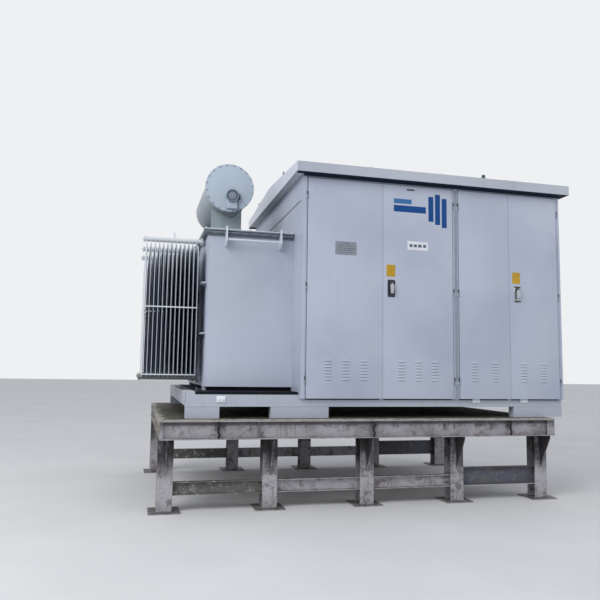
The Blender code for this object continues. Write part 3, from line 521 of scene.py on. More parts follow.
@dataclass(frozen=True)
class WornPaint(Finish):
    """Old pale paint on a yard stand: grime in runs, moss, chips down to rust."""

    colour: Colour
    shade_and_dirt_share: float = 0.94
    speckle: float = 0.45

    def made(self) -> bpy.types.Material:
        """Paint under mottled grime, growth, rust in the chips, and dark places that are partly dirt and
        partly painted shade.

        The dark places are the faces along X high on the legs and the streaks that run down
        from the beam, partly dirt and partly painted shade, the painted shadow in the corner
        under the beam's upper flange, and the foot plates.
        """
        g = Graph(self.name)
        r, gr, b = self.colour
        pale = (min(1, r * 1.45), min(1, gr * 1.45), min(1, b * 1.45))
        tone = g.mix(g.band(g.noise(3.4, 7, rough=0.7), 0.36, 0.62), self.colour, pale)
        low_legs = g.sum("MULTIPLY", g.band(g.height(), *LEVELS.bright_legs), 0.85)
        tone = g.mix(low_legs, tone, tuple(min(1, c * 1.62) for c in self.colour))
        runs = g.noise(34, 7, (1, 1, 0.07), 1.3, 0.75)
        clouds = g.noise(2.6, 6, (1, 1, 1.6), 9.2, 0.65)
        run_mask = g.sum("MULTIPLY", g.band(runs, 0.47, 0.70), g.band(clouds, 0.40, 0.64))
        tone = g.mix(g.sum("MULTIPLY", run_mask, 0.70), tone, RUN_GREY)
        mottle = g.noise(11, 12, (0.6, 1, 1.1), 4.4, 0.74)
        patch = g.band(g.noise(1.9, 5, shift=12.0), 0.40, 0.60, (0.15, 1.0))
        tone = g.mix(g.sum("MULTIPLY", g.band(mottle, 0.50, 0.66), patch), tone, MOTTLE_GREY)
        specks = g.band(g.noise(17, 11, shift=70.0, rough=0.72), 0.54, 0.61)
        specks = g.sum("MULTIPLY", specks, self.speckle)
        tone = g.mix(specks, tone, SPECK_PALE)
        blots = g.sum("MULTIPLY", g.band(g.noise(10, 12, shift=80.0, rough=0.76), 0.51, 0.60), 0.72)
        low_blots = g.sum("MULTIPLY", blots, g.band(g.height(), *LEVELS.blots))
        tone = g.mix(low_blots, tone, BLOT_GREY)
        moss = g.sum("MULTIPLY", g.band(g.noise(6, 8, shift=20.0), 0.58, 0.72), 0.45)
        tone = g.mix(moss, tone, MOSS)
        chips = g.band(g.noise(28, 12, shift=31.0, rough=0.7), 0.640, 0.675)
        rust_tone = g.mix(g.band(g.noise(90, 5), 0.35, 0.65), RUST_DARK, RUST_LIGHT)
        near_ground = g.band(g.height(), *LEVELS.rust, (0.0, 0.6))
        seep = g.sum("MULTIPLY", g.band(g.noise(9, 9, (1, 1, 0.35), 40.0, 0.7), 0.60, 0.74), near_ground)
        rust = g.sum("MAXIMUM", chips, seep)
        tone = g.mix(rust, tone, rust_tone)
        ragged = g.noise(8, 8, (1, 1, 0.45), 52.0, 0.7)
        wander = g.band(ragged, 0.30, 0.70, (-0.09, 0.09))
        level = g.node("Math", {0: g.height(), 1: wander}, operation="ADD").outputs[0]
        below_beam = g.band(g.height(), *LEVELS.below_beam)
        # leg and gusset sides high up and streaks below the beam: partly dirt, partly painted shade
        sides = g.sum("MULTIPLY", g.sideways(), g.band(level, *LEVELS.leg_sides))
        streaks = g.sum("MULTIPLY", g.band(level, *LEVELS.streaks), g.band(ragged, 0.31, 0.52))
        dark = g.sum("MULTIPLY", g.sum("MAXIMUM", sides, streaks), below_beam)
        # painted shadow under the beam's upper flange
        shade = g.band(g.height(), *LEVELS.shade, (0.0, 0.92))
        corner = g.sum("MAXIMUM", g.band(level, *LEVELS.corner), shade)
        corner = g.sum("MULTIPLY", corner, g.band(g.height(), *LEVELS.below_flange))
        corner = g.sum("MULTIPLY", corner, 0.80)
        foot = g.band(ragged, 0.25, 0.7, (0.22, 0.68))
        foot = g.sum("MULTIPLY", g.band(g.height(), *LEVELS.foot_plate), foot)
        dark = g.sum("MAXIMUM", dark, g.sum("MAXIMUM", corner, foot))
        # the dark places take a tone that is partly dirt and partly painted shade
        tone = g.mix(g.sum("MULTIPLY", dark, self.shade_and_dirt_share), tone, SHADE_AND_DIRT)
        pale_edge = g.band(ragged, 0.62, 0.40, (0.0, 0.6))
        pale_edge = g.sum("MULTIPLY", g.band(g.height(), *LEVELS.flange_edge), pale_edge)
        tone = g.mix(pale_edge, tone, EDGE_PALE)
        settled = g.sum("MULTIPLY", g.upward(), g.band(g.noise(11, 8, rough=0.7), 0.30, 0.58, (0.0, 0.9)))
        tone = g.mix(settled, tone, SILT)
        g.set("Base Color", tone)
        g.set("Roughness", g.sum("ADD", g.sum("MULTIPLY", rust, 0.25), 0.62))
        g.set("Specular IOR Level", 0.3)
        relief = g.sum("SUBTRACT", g.sum("MULTIPLY", g.noise(60, 8), 0.5), g.sum("MULTIPLY", rust, 0.4))
        g.bump(g.noise(5, 3), 0.3, 0.004)
        g.bump(relief, 0.45, 0.0016)
        return g.material


@dataclass(frozen=True)
class DeckPaint(Finish):
    """A stand's plated top: pale worn paint along its edges, dark growth further in."""

    colour: Colour
    middle: tuple
    half: tuple
    strip: float = 0.048

    def made(self) -> bpy.types.Material:
        """Pale paint on upright faces and within a strip of each edge, by the distance
        from the middle lines."""
        g = Graph(self.name)
        ragged = g.band(g.noise(9, 9, rough=0.72), 0.30, 0.70, (-0.05, 0.05))
        near = []
        for axis in (0, 1):
            away = g.from_middle(axis, self.middle[axis])
            level = g.node("Math", {0: away, 1: ragged}, operation="ADD").outputs[0]
            start = self.half[axis] - self.strip
            near.append(g.band(level, start - 0.015, start + 0.015))
        upright = g.sum("SUBTRACT", 1.0, g.upward())
        edge = g.sum("MAXIMUM", upright, g.sum("MAXIMUM", near[0], near[1]))
        growth = g.mix(g.band(g.noise(6, 8, rough=0.7), 0.35, 0.65), GROWTH_DARK, GROWTH_LIGHT)
        grime = g.band(g.noise(14, 9, shift=6.0, rough=0.7), 0.46, 0.66)
        worn = g.mix(grime, self.colour, DECK_GRIME)
        tone = g.mix(edge, growth, worn)
        chips = g.band(g.noise(30, 12, shift=31.0, rough=0.7), 0.64, 0.68)
        g.set("Base Color", g.mix(chips, tone, DECK_CHIP))
        g.set("Roughness", 0.72)
        g.set("Specular IOR Level", 0.3)
        g.bump(g.noise(5, 3), 0.3, 0.004)
        g.bump(g.noise(60, 8), 0.4, 0.0014)
        return g.material


@dataclass(frozen=True)
class Metal(Finish):
    """Bare or plated metal with a fine uneven polish."""

    colour: Colour
    roughness: float = 0.38

    def made(self) -> bpy.types.Material:
        """A full metal whose tone and polish wander."""
        g = Graph(self.name)
        dull = tuple(0.72 * c for c in self.colour)
        g.set("Base Color", g.mix(g.band(g.noise(60, 5), 0.35, 0.7), self.colour, dull))
        g.set("Roughness", g.band(g.noise(140, 4), 0.3, 0.7, (self.roughness, self.roughness + 0.2)))
        g.set("Metallic", 1.0)
        g.bump(g.noise(500, 2), 0.1, 0.0003)
        return g.material


@dataclass(frozen=True)
class Plain(Finish):
    """Moulded plastic, rubber, enamel or print: an even skin with a fine grain."""

    colour: Colour
    roughness: float = 0.5
    grain: float = 600.0
    shine: float = 0.5

    def made(self) -> bpy.types.Material:
        """An even colour with a slight wander of tone and a fine grain."""
        g = Graph(self.name)
        dull = tuple(0.80 * c + 0.006 for c in self.colour)
        g.set("Base Color", g.mix(g.band(g.noise(14, 6), 0.3, 0.75), self.colour, dull))
        g.set("Roughness", g.band(g.noise(30, 4), 0.3, 0.7, (self.roughness - 0.06, self.roughness + 0.1)))
        g.set("Specular IOR Level", self.shine)
        g.bump(g.noise(self.grain, 2), 0.12, 0.0003)
        return g.material


CABINET = SprayedPaint("cabinet_paint", "grey_paint", linear(171, 177, 194))
DOOR_SKIN = SprayedPaint("door_skin_paint", "door_paint", linear(172, 178, 195), 0.40, 0.20)
# the last number lightens the tank's lower part: painted light
TANK_PAINT = SprayedPaint("tank_paint", "grey_paint", linear(170, 176, 191), 0.40, 0.30, 0.25, 0.0, 0.42)
# a darker copy of the grey paint: partly painted shade on the cover's edge and under the rim
COVER_SHADE_PAINT = SprayedPaint("tank_cover_paint", "grey_paint", linear(104, 112, 120), 0.42, 0.35, 0.2)
RAIL_PAINT = SprayedPaint("tank_rail_paint", "grey_paint", linear(200, 206, 216), 0.36, 0.15, 0.1)
BASE_PAINT = SprayedPaint("base_paint", "grey_paint", linear(173, 177, 190), 0.46, 0.50, 0.3)
# lit sides lightens the gables that face the light: painted light
ROOF_SKIN = SprayedPaint(
    "roof_skin_paint", "roof_paint", linear(172, 176, 187), 0.42, 0.35, 0.3, lit_sides=0.6
)
VESSEL = SprayedPaint("vessel_paint", "conservator_paint", linear(163, 176, 190), 0.38, 0.25, 0.2)
VESSEL_SIDE = SprayedPaint("vessel_side_paint", "conservator_paint", linear(150, 160, 168), 0.44, 0.40, 0.2)
SADDLE_PAINT = SprayedPaint("saddle_paint", "conservator_paint", linear(150, 162, 168), 0.46, 0.45, 0.2)
PAINTED_BOLT = SprayedPaint("painted_bolt", None, linear(140, 150, 163), 0.5, 0.3, 0.0)
# 0.84 is the share of painted shade between the panels
COOLER = SprayedPaint("cooler_paint", "radiator_paint", linear(196, 201, 208), 0.42, 0.25, 0.1, 0.84)
# a lighter copy of the cooler paint: on the upper header partly painted light
COOLER_PIPE = SprayedPaint("cooler_pipe_paint", "radiator_paint", linear(204, 208, 214), 0.42, 0.35, 0.1)
# a darker copy for the lower header: painted shade
COOLER_FOOT_SHADE = SprayedPaint("cooler_foot_paint", "radiator_paint", linear(118, 127, 124), 0.5, 0.55, 0.1)
STAND = WornPaint("stand_worn_paint", "stand_steel", linear(138, 135, 140))
STAND_GRIMY = WornPaint("stand_grimy_paint", "stand_steel", linear(84, 84, 81), speckle=0.95)
STAND_BLUE = WornPaint("stand_blue_grey_paint", "stand_steel", linear(70, 72, 82), 0.3, 0.2)
BLACK = Plain("handle_black_plastic", "handle_black", (0.018, 0.019, 0.022), 0.42)
LEVER_METAL = Metal("lever_plated_metal", "handle_metal", linear(188, 190, 196), 0.34)
LEVER_COVER = Plain("lever_cover_pale", None, linear(176, 182, 192), 0.45, 300, 0.3)
GAUGE_CASE = SprayedPaint("gauge_case_paint", "gauge_metal", linear(108, 120, 137), 0.35, 0.2, 0.1)
GAUGE_RING = Plain("gauge_ring_dark", None, linear(66, 76, 92), 0.5, 300)
ZINC = Metal("zinc_fasteners", None, linear(178, 180, 184), 0.42)
# black for the rubber seals and gasket, and for sheets and strips of painted shade
RUBBER_AND_SHADE = Plain("rubber_seal", None, (0.008, 0.010, 0.014), 0.8, 300, 0.08)
CABLE = Plain("cable_grey", None, linear(74, 80, 90), 0.6, 300)
# painted shade under the overhangs and over the doors
SOFFIT_SHADE = Plain("soffit_dark_grey", None, linear(28, 36, 56), 0.7, 200, 0.2)
# painted light under the left overhang
SOFFIT_SIDE_LIGHT = Plain("soffit_side_grey", None, linear(196, 201, 206), 0.6, 200)
SEAM_GREY = Plain("seam_grey", None, linear(124, 130, 142), 0.6, 300)
POST_GREY = Plain("post_grey", None, linear(136, 143, 157), 0.6, 300)
HINGE_DARK = Plain("hinge_dark_steel", None, linear(58, 62, 72), 0.5, 300)
LUG = SprayedPaint("lug_dark_paint", None, linear(88, 94, 104), 0.5, 0.3, 0.1)
BOSS_PAINT = SprayedPaint("boss_pale_paint", None, linear(222, 226, 232), 0.4, 0.1, 0.1)
RUSTED_SEAM = Plain("rusted_seam", None, linear(26, 22, 25), 0.85, 120)
GRIMY_EDGE = Plain("grimy_edge", None, linear(92, 86, 90), 0.8, 150)
PALE_EDGE = Plain("pale_worn_edge", None, linear(168, 166, 172), 0.7, 150)
SHADOW_GAP = Plain("louvre_gap_black", None, (0.03, 0.032, 0.038), 0.9)
BLUE = Plain("sign_blue", None, linear(16, 70, 134), 0.4, 600, 0.15)
PALE_BLUE = Plain("sign_pale_blue", None, linear(60, 112, 166), 0.4, 600, 0.15)
YELLOW = Plain("tag_yellow", None, linear(188, 150, 40), 0.4, 600, 0.2)
PLATE = Metal("rating_plate_metal", None, linear(150, 154, 164), 0.4)
PLATE_PRINT = Plain("plate_print_grey", None, linear(96, 101, 112), 0.5)
LABEL = Plain("label_white", None, linear(224, 226, 232), 0.35)
LABEL_PRINT = Plain("label_print_grey", None, linear(88, 94, 108), 0.5)
DIAL = Plain("dial_grey", None, linear(126, 136, 152), 0.25)
NEEDLE = Plain("needle_grey", None, linear(58, 64, 76), 0.4)


def add_piece(
    name: str, shape: Shape, finish: Finish, body: str = "root", sharp: float = 32.0
) -> bpy.types.Object:
    """A new piece of the scene, at the origin, that rides on a body.

    Args:
        name: the piece's name.
        shape: its surface.
        finish: what it is made of.
        body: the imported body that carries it.
        sharp: the angle in degrees past which an edge stays sharp.

    Returns:
        The object.
    """
    mesh = bpy.data.meshes.new(name)
    mesh.from_pydata(shape.points.tolist(), [], [f for group in shape.faces for f in group.tolist()])
    mesh.materials.append(finish.material())
    mesh.shade_smooth()
    mesh.set_sharp_from_angle(angle=math.radians(sharp))
    made = bpy.data.objects.new(name, mesh)
    bpy.context.scene.collection.objects.link(made)
    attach(made, body)
    LOG.info("%s: %d faces on %s", name, len(mesh.polygons), body)
    return made


def dress(nodes: dict, names: list[str], finish: Finish) -> None:
    """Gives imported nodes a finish, and leaves their shapes as they are."""
    for name in names:
        nodes[name].data.materials.clear()
        nodes[name].data.materials.append(finish.material())
        LOG.info("%s: packed node, %s", name, finish.name)


def corners(node: str) -> tuple[Array, Array]:
    """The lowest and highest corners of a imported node."""
    low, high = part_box(node)
    return np.array(low), np.array(high)


@dataclass
class Stand:
    """The welded stand: beams, legs, rails and a plated deck, weathered all over."""

    nodes: dict
    flange_thick: float = 0.011
    web_inset: float = 0.006
    joint_places: tuple = (0.552, 2.137, 3.708)
    joint_width: float = 0.011
    joint_shift: float = 0.005
    joint_sways: tuple = ((0.005, 61.0, 0.0), (0.003, 143.0, 1.0))
    joint_steps: int = 28
    stiffener_place: float = 0.949
    stiffener_half: float = 0.0065
    stiffener_proud: float = 0.0015
    rail_end: float = 0.004
    rail_edge: tuple = (0.004, 0.0012)
    lower_edge: tuple = (0.0005, 0.009)
    upper_edge: tuple = (0.007, 0.0005)
    end_plates: tuple = (0.030, 0.092)
    end_plate_thick: float = 0.008
    end_plate_recess: float = 0.002
    weld: float = 0.005
    weld_half: float = 0.074
    weld_ends: tuple = (0.014, 0.002)
    front_leg_edge: float = 0.075
    back_leg_edge: float = 0.225
    leg_depth: float = 0.150

    def build(self) -> None:
        """Dresses the nodes and adds seams, worn edges, end plates and welds."""
        dress(self.nodes, [n for n in self.nodes if n.startswith("stand_")], STAND)
        dress(self.nodes, ["stand_rail_front_1", "stand_rail_back_1"], STAND_GRIMY)
        dress(self.nodes, ["stand_rail_front_4", "stand_rail_back_4"], STAND_BLUE)
        low, high = corners("stand_deck")
        middle, half = tuple((low + high) / 2), tuple((high - low) / 2)
        deck = DeckPaint("stand_deck_paint", "stand_steel", linear(158, 155, 147), middle, half)
        dress(self.nodes, ["stand_deck"], deck)
        self.add_beam_joints()
        self.add_rail_edges()
        self.add_end_plates()
        self.add_welds()

    def add_beam_joints(self) -> None:
        """Rusted seams down the outer face of the long beams, and one stiffener's worn edge.

        Each seam sways by two sines of its height, so that it reads as laid by hand.
        """
        for row, side in ROWS:
            low, high = corners(f"stand_{row}_beam")
            face = low[1] + self.web_inset if side < 0 else high[1] - self.web_inset
            z = np.linspace(low[2] + self.flange_thick, high[2] - self.flange_thick, self.joint_steps)
            sway = sum(size * np.sin(z * rate + phase) for size, rate, phase in self.joint_sways)
            path = np.column_stack([sway + self.joint_shift, np.full_like(z, face), z])
            seam = tube(path, self.joint_width, 8, (0, 1, 0))
            places = [(low[0] + x, 0, 0) for x in self.joint_places]
            add_piece(f"{row}_beam_joints", seam.repeated(places), RUSTED_SEAM)
            x, half = low[0] + self.stiffener_place, self.stiffener_half
            y = sorted((face, face + side * self.stiffener_proud))
            edge = block((x - half, y[0] - CLEAR, z[0]), (x + half, y[1] + CLEAR, z[-1]), 0.001)
            add_piece(f"{row}_stiffener_edge", edge, GRIMY_EDGE)

    def add_rail_edges(self) -> None:
        """Worn lines, one pale and one grimy, along the flange edges of the blue-grey rails."""
        for row, side in ROWS:
            low, high = corners(f"stand_rail_{row}_4")
            outer = low[1] if side < 0 else high[1]
            y = sorted((outer - side * self.rail_edge[0], outer + side * self.rail_edge[1]))
            x = low[0] + self.rail_end, high[0] - self.rail_end
            lower = [low[2] + rise for rise in self.lower_edge]
            upper = [high[2] - drop for drop in self.upper_edge]
            for name, z, finish in (("lower", lower, PALE_EDGE), ("upper", upper, GRIMY_EDGE)):
                line = block((x[0], y[0], z[0]), (x[1], y[1], z[1]), 0.001)
                add_piece(f"{row}_rail_{name}_edge", line, finish)

    def add_end_plates(self) -> None:
        """Plates that close the ends of the long beams, flush with their flanges."""
        near, far = self.end_plates
        for row, side in ROWS:
            low, high = corners(f"stand_{row}_beam")
            recess = self.end_plate_recess
            outer = low[1] + recess if side < 0 else high[1] - recess
            y = sorted((outer, outer - side * self.end_plate_thick))
            z = low[2] + self.flange_thick + CLEAR, high[2] - self.flange_thick - CLEAR
            plates = [
                block((low[0] + CLEAR, y[0], z[0]), (low[0] + near, y[1], z[1])),
                block((high[0] - far, y[0], z[0]), (high[0] - CLEAR, y[1], z[1])),
            ]
            add_piece(f"{row}_beam_end_plates", joined(plates), STAND)

    def add_welds(self) -> None:
        """Beads where each leg meets its foot and the beam above."""
        for row, _ in ROWS:
            beads = []
            for number in range(1, 6):
                low, high = corners(f"stand_leg_{row}_{number}")
                x, half = (low[0] + high[0]) / 2, self.weld_half
                edge = high[1] - self.front_leg_edge if row == "front" else low[1] + self.back_leg_edge
                for y in (edge - self.leg_depth, edge):
                    for z in (self.weld_ends[0], high[2] - self.weld_ends[1]):
                        ends = (x - half, y, z), (x + half, y, z)
                        beads.append(tube(run(*ends, 12), self.weld, 6))
            add_piece(f"{row}_leg_welds", joined(beads), STAND)


@dataclass
class BaseFrame:
    """The channel frame under the tank and the enclosure, with its pads and earth bosses."""

    nodes: dict
    pad_height: float = 0.118
    boss_places: tuple = (0.345, 3.140, 3.732)
    boss_size: tuple = (0.090, 0.062)
    boss_thick: float = 0.012
    boss_rise: float = 0.070
    boss_bolt_reach: float = 0.022
    # the black sheet of painted shade before the tank
    shade_sheet_inset: float = 0.090
    shade_sheet_lap: float = 0.060
    shade_sheet_fold: float = 0.024
    shade_sheet_left: float = 0.075
    shade_sheet_right: float = 0.012
    shade_sheet_depth: float = 0.100
    shade_sheet_front: tuple = (0.0022, 0.0002)
    shade_sheet_top: tuple = (0.0004, 0.0028)
    weld: float = 0.004

    def build(self) -> None:
        """Dresses the nodes, then adds the earth bosses, the seam welds and the black sheet of painted shade.
        """
        names = [n for n in self.nodes if n.startswith("base_")]
        dress(self.nodes, [*names, "enclosure_floor"], BASE_PAINT)
        low, high = corners("base_front_beam")
        wide, tall = self.boss_size
        centre = low[2] + self.pad_height + self.boss_rise
        boss = block((-wide / 2, -self.boss_thick, -tall / 2), (wide / 2, 0, tall / 2), 0.003, 2)
        places = [(low[0] + x, low[1], centre) for x in self.boss_places]
        add_piece("earth_bosses", boss.repeated(places), BOSS_PAINT)
        pair = bolt(0.018).turned(Facing.FRONT)
        reach = self.boss_bolt_reach
        bolts = [(x + side, low[1] - self.boss_thick, z) for x, _, z in places for side in (-reach, reach)]
        add_piece("earth_boss_bolts", pair.repeated(bolts), BOSS_PAINT)
        self.add_welds(low, high)
        self.add_shade_sheet(low, high)

    def add_shade_sheet(self, low: Array, high: Array) -> None:
        """A black sheet of painted shade before the tank, folded down over the channel's edge."""
        end, left = low[0] + self.shade_sheet_inset, corners("tank_cover")[0][0] + self.shade_sheet_left
        right = corners("left_wall")[0][0] - self.shade_sheet_right
        y0, y1 = (low[1] - proud for proud in self.shade_sheet_front)
        z0, z1 = (high[2] + rise for rise in self.shade_sheet_top)
        deep = corners("tank_body")[0][1] + self.shade_sheet_depth
        parts = [
            block((end, y0, high[2] - self.shade_sheet_fold), (right, y1, high[2] + CLEAR), 0.001),
            block((end, y0, z0), (left, low[1] + self.shade_sheet_lap, z1), 0.001),
            block((left, y0, z0), (right, deep, z1), 0.001),
        ]
        add_piece("base_rubber_edge", joined(parts), RUBBER_AND_SHADE)

    def add_welds(self, low: Array, high: Array) -> None:
        """A bead along the foot of the channel, front and back."""
        back = corners("base_back_beam")[1][1]
        z, inset = low[2] + self.pad_height, 0.01
        beads = [
            tube(run((low[0] + inset, y, z), (high[0] - inset, y, z), 60), self.weld, 6)
            for y in (low[1], back)
        ]
        add_piece("base_seam_welds", joined(beads), BASE_PAINT)


@dataclass
class Enclosure:
    """Walls, frame and roof of the door enclosure, with seams, seals and lifting eyes."""

    nodes: dict
    joints: dict
    hinge_inset: float = 0.188
    seam_spacing: float = 0.86
    seam_width: float = 0.034
    seam_stand: float = 0.004
    seam_inset: float = 0.004
    rivet_pitch: float = 0.15
    side_seam_rise: float = 0.30
    side_seam_width: float = 0.014
    seal: float = 0.014
    leaf_gap: float = 0.0055
    roof_rise: float = 0.105
    drip: float = 0.002
    drip_rise: float = 0.012
    drip_thick: float = 0.003
    ridge_reach: float = 0.075
    ridge_cap: float = 0.005
    ridge_sheet: float = 0.004
    lug_width: float = 0.044
    lug_height: float = 0.045
    lug_thick: float = 0.011
    lug_inset: float = 0.014
    gable_lug_inset: float = 0.735
    eaves_lug_inset: float = 2.150

    def build(self) -> None:
        """Dresses the walls and roof and adds what is fixed to them."""
        dress(self.nodes, ["left_wall", "right_wall", "back_wall", "front_frame"], CABINET)
        dress(self.nodes, ["roof"], ROOF_SKIN)
        self.add_wall_seams()
        self.add_roof_edges()
        self.add_lugs()
        self.add_soffit()
        self.add_hinge_fillers()
        self.add_foot_shadows()
        self.add_post_cover()
        self.add_seals()

    def add_post_cover(self) -> None:
        """A grey strip down the post between the two pairs of doors, clear of the hinges."""
        clear, stand, sink, inset = 0.0115, 0.0008, 0.0006, 0.004
        left, face, _ = self.joints["door_2_hinge"]["pos_m"]
        right = self.joints["door_3_hinge"]["pos_m"][0]
        low, high = corners("door_2")
        start = left + clear, face - stand, low[2] + inset
        end = right - clear, face + sink, high[2] - inset
        add_piece("post_cover", block(start, end, 0.0004), POST_GREY)

    @staticmethod
    def seam(low: tuple, high: tuple) -> Shape:
        """A flat cover strip."""
        return block(low, high, 0.0015)

    def add_wall_seams(self) -> None:
        """Upright cover strips on the back and right walls, with rivets down each, and one
        level seam on the left wall."""
        low, high = corners("back_wall")
        floor, top = low[2] + self.seam_inset, high[2] - self.seam_inset
        half, stand = self.seam_width / 2, self.seam_stand
        count = int((high[0] - low[0]) / self.seam_spacing)
        xs = np.linspace(low[0], high[0], count + 1)[1:-1]
        strip = self.seam((-half, 0, floor), (half, stand, top))
        shapes = [strip.repeated(offsets_of(xs, high[1], 0))]
        rivet = lathe([(0.0055, 0), (0.005, 0.002), (0.0025, 0.0034)], 8)
        levels = np.arange(floor + 0.08, top - 0.04, self.rivet_pitch)
        rivets = [rivet.turned(Facing.BACK).repeated(offsets_of(xs, high[1] + stand, levels))]
        side_low, side_high = corners("right_wall")
        ys = np.linspace(side_low[1], side_high[1], 4)[1:-1]
        strip = self.seam((0, -half, floor), (stand, half, top))
        shapes.append(strip.repeated(offsets_of(side_high[0], ys, 0)))
        rivets.append(rivet.turned(Facing.RIGHT).repeated(offsets_of(side_high[0] + stand, ys, levels)))
        left_low, left_high = corners("left_wall")
        level = corners("tank_cover")[1][2] + self.side_seam_rise
        start = left_low[0] - stand, left_low[1], level
        end = left_low[0], left_high[1], level + self.side_seam_width
        add_piece("left_wall_seam", self.seam(start, end), SEAM_GREY)
        add_piece("wall_seam_strips", joined(shapes), CABINET)
        add_piece("wall_seam_rivets", joined(rivets), ZINC)

    def add_roof_edges(self) -> None:
        """A folded drip edge round the eaves and a cap along the ridge."""
        low, high = corners("roof")
        z0, z1, thick = low[2] - self.drip, low[2] + self.drip_rise, self.drip_thick
        y_mid = (low[1] + high[1]) / 2
        rims = [
            block((low[0], low[1] - thick, z0), (high[0], low[1], z1), 0.001),
            block((low[0], high[1], z0), (high[0], high[1] + thick, z1), 0.001),
            block((low[0] - thick, low[1], z0), (low[0], high[1], z1), 0.001),
            block((high[0], low[1], z0), (high[0] + thick, high[1], z1), 0.001),
        ]
        add_piece("roof_drip_edge", joined(rims), ROOF_SKIN)
        eaves = high[2] - self.roof_rise
        span = y_mid - low[1]
        slope = self.roof_rise / span
        reach, cap = self.ridge_reach, self.ridge_cap
        foot = high[2] - reach * slope
        outline = np.array([
            (y_mid - reach, foot), (y_mid, high[2] + cap - self.ridge_sheet), (y_mid + reach, foot),
            (y_mid + reach, foot + cap), (y_mid, high[2] + cap), (y_mid - reach, foot + cap),
        ])
        ridge = prism(outline, high[0] - low[0] - 0.02).turned(Facing.RIGHT).moved(low[0] + 0.01)
        seams = []
        for x in np.linspace(low[0], high[0], 5)[1:-1]:
            for side in (-1, 1):
                start = (x, y_mid + side * reach, foot + 0.002)
                end = (x, y_mid + side * (span - 0.01), eaves + 0.003)
                seams.append(tube(run(start, end, 2), 0.008, 8))
        add_piece("roof_ridge_and_seams", joined([ridge, *seams]), ROOF_SKIN)

    def add_lugs(self) -> None:
        """Round-topped lugs on the roof's edges, each with a dark disc of painted shade through it for its
        eye.
        """
        low, high = corners("roof")
        eaves = high[2] - self.roof_rise
        slope = self.roof_rise / ((high[1] - low[1]) / 2)
        half, tall, thick = self.lug_width / 2, self.lug_height, self.lug_thick
        angle = np.linspace(0, math.pi, 13)
        crown = np.column_stack([half * np.cos(angle), tall - half + half * np.sin(angle)])
        outline = np.vstack([[(-half, -0.006)], [(half, -0.006)], crown])
        lug = prism(outline, thick, 0.0015).moved(z=-thick / 2)
        # the eye is a dark disc of painted shade on both faces, in place of a hole
        eye = lathe([(0.009, -thick / 2 - 0.0004), (0.009, thick / 2 + 0.0004)], 20).moved(y=tall - half)
        foot = eaves + self.gable_lug_inset * slope
        gable = offsets_of(
            (low[0] + self.lug_inset, high[0] - self.lug_inset),
            (low[1] + self.gable_lug_inset, high[1] - self.gable_lug_inset),
            foot,
        )
        over = offsets_of(
            low[0] + self.eaves_lug_inset, (low[1] + self.lug_inset, high[1] - self.lug_inset), eaves
        )
        for name, shape, finish in (("roof_lugs", lug, LUG), ("roof_lug_eyes", eye, SHADOW_GAP)):
            sides = shape.turned(Facing.RIGHT).repeated(gable) + shape.turned(Facing.FRONT).repeated(over)
            add_piece(name, sides, finish)

    def add_soffit(self) -> None:
        """Boards under the overhangs, painted light at the left and painted shade elsewhere, and a
        strip of painted shade over the doors."""
        low, high = corners("roof")
        wall_back = corners("back_wall")[1][1]
        left, right = corners("left_wall")[0][0], corners("right_wall")[1][0]
        front = corners("front_frame")[0][1]
        foot, head, inset, gap = 0.005, 0.0006, 0.010, 0.002
        z = low[2] - foot, low[2] - head
        x, y = (low[0] + inset, high[0] - inset), (low[1] + inset, high[1] - inset)
        boards = [
            block((x[0], y[0], z[0]), (x[1], front - gap, z[1]), 0.001),
            block((x[0], wall_back + gap, z[0]), (x[1], y[1], z[1]), 0.001),
        ]
        add_piece("roof_soffit", joined(boards), SOFFIT_SHADE)
        y = front - CLEAR, wall_back + CLEAR
        sides = (("left", x[0], left - gap, SOFFIT_SIDE_LIGHT), ("right", right + gap, x[1], SOFFIT_SHADE))
        for name, start, end, finish in sides:
            board = block((start, y[0], z[0]), (end, y[1], z[1]), 0.001)
            add_piece(f"roof_{name}_soffit", board, finish)
        # a strip of painted shade over the doors
        inset, proud, rise = 0.004, 0.003, 0.009
        start = left + inset, front - proud, corners("door_1")[1][2] + rise
        end = right - inset, front + CLEAR, z[0] - CLEAR
        add_piece("door_rain_lip", block(start, end, 0.001), SOFFIT_SHADE)

    def add_hinge_fillers(self) -> None:
        """Strips that fill the frame's recess behind each row of hinges, and dark sleeves
        round the frame's own knuckles."""
        front = corners("front_frame")[0][1]
        outer, inner, near, far, drop = 0.0105, 0.004, 0.014, 0.040, 0.0358
        strips, sleeves = [], []
        sleeve = lathe([(0.0078, 0), (0.0088, 0.001), (0.0088, 0.034), (0.0078, 0.035)], 20)
        for number in (1, 2, 3, 4):
            low, high = corners(f"door_{number}")
            x, y, _ = self.joints[f"door_{number}_hinge"]["pos_m"]
            side = 1 if self.joints[f"door_{number}_hinge"]["axis"][2] < 0 else -1
            reach = sorted((x - side * outer, x + side * inner))
            start = reach[0], front + near, low[2] + CLEAR
            strips.append(block(start, (reach[1], front + far, high[2]), 0.001))
            levels = np.linspace(low[2] + self.hinge_inset, high[2] - self.hinge_inset, 3)
            sleeves.append(sleeve.repeated(offsets_of(x, y, levels - drop)))
        add_piece("hinge_fillers", joined(strips), CABINET)
        add_piece("frame_hinge_sleeves", joined(sleeves), POST_GREY)

    def add_foot_shadows(self) -> None:
        """Black strips of painted shadow on the base's face, just under the foot of each leaf."""
        face = corners("base_front_beam")[0][1]
        inset, below, above, proud, off = 0.022, 0.013, 0.015, 0.0046, 0.0002
        strips = []
        for number in (1, 2, 3, 4):
            low, high = corners(f"door_{number}")
            start = low[0] + inset, face - proud, low[2] - below
            strips.append(block(start, (high[0] - inset, face - off, low[2] + above), 0.001))
        add_piece("door_foot_seals", joined(strips), RUBBER_AND_SHADE)

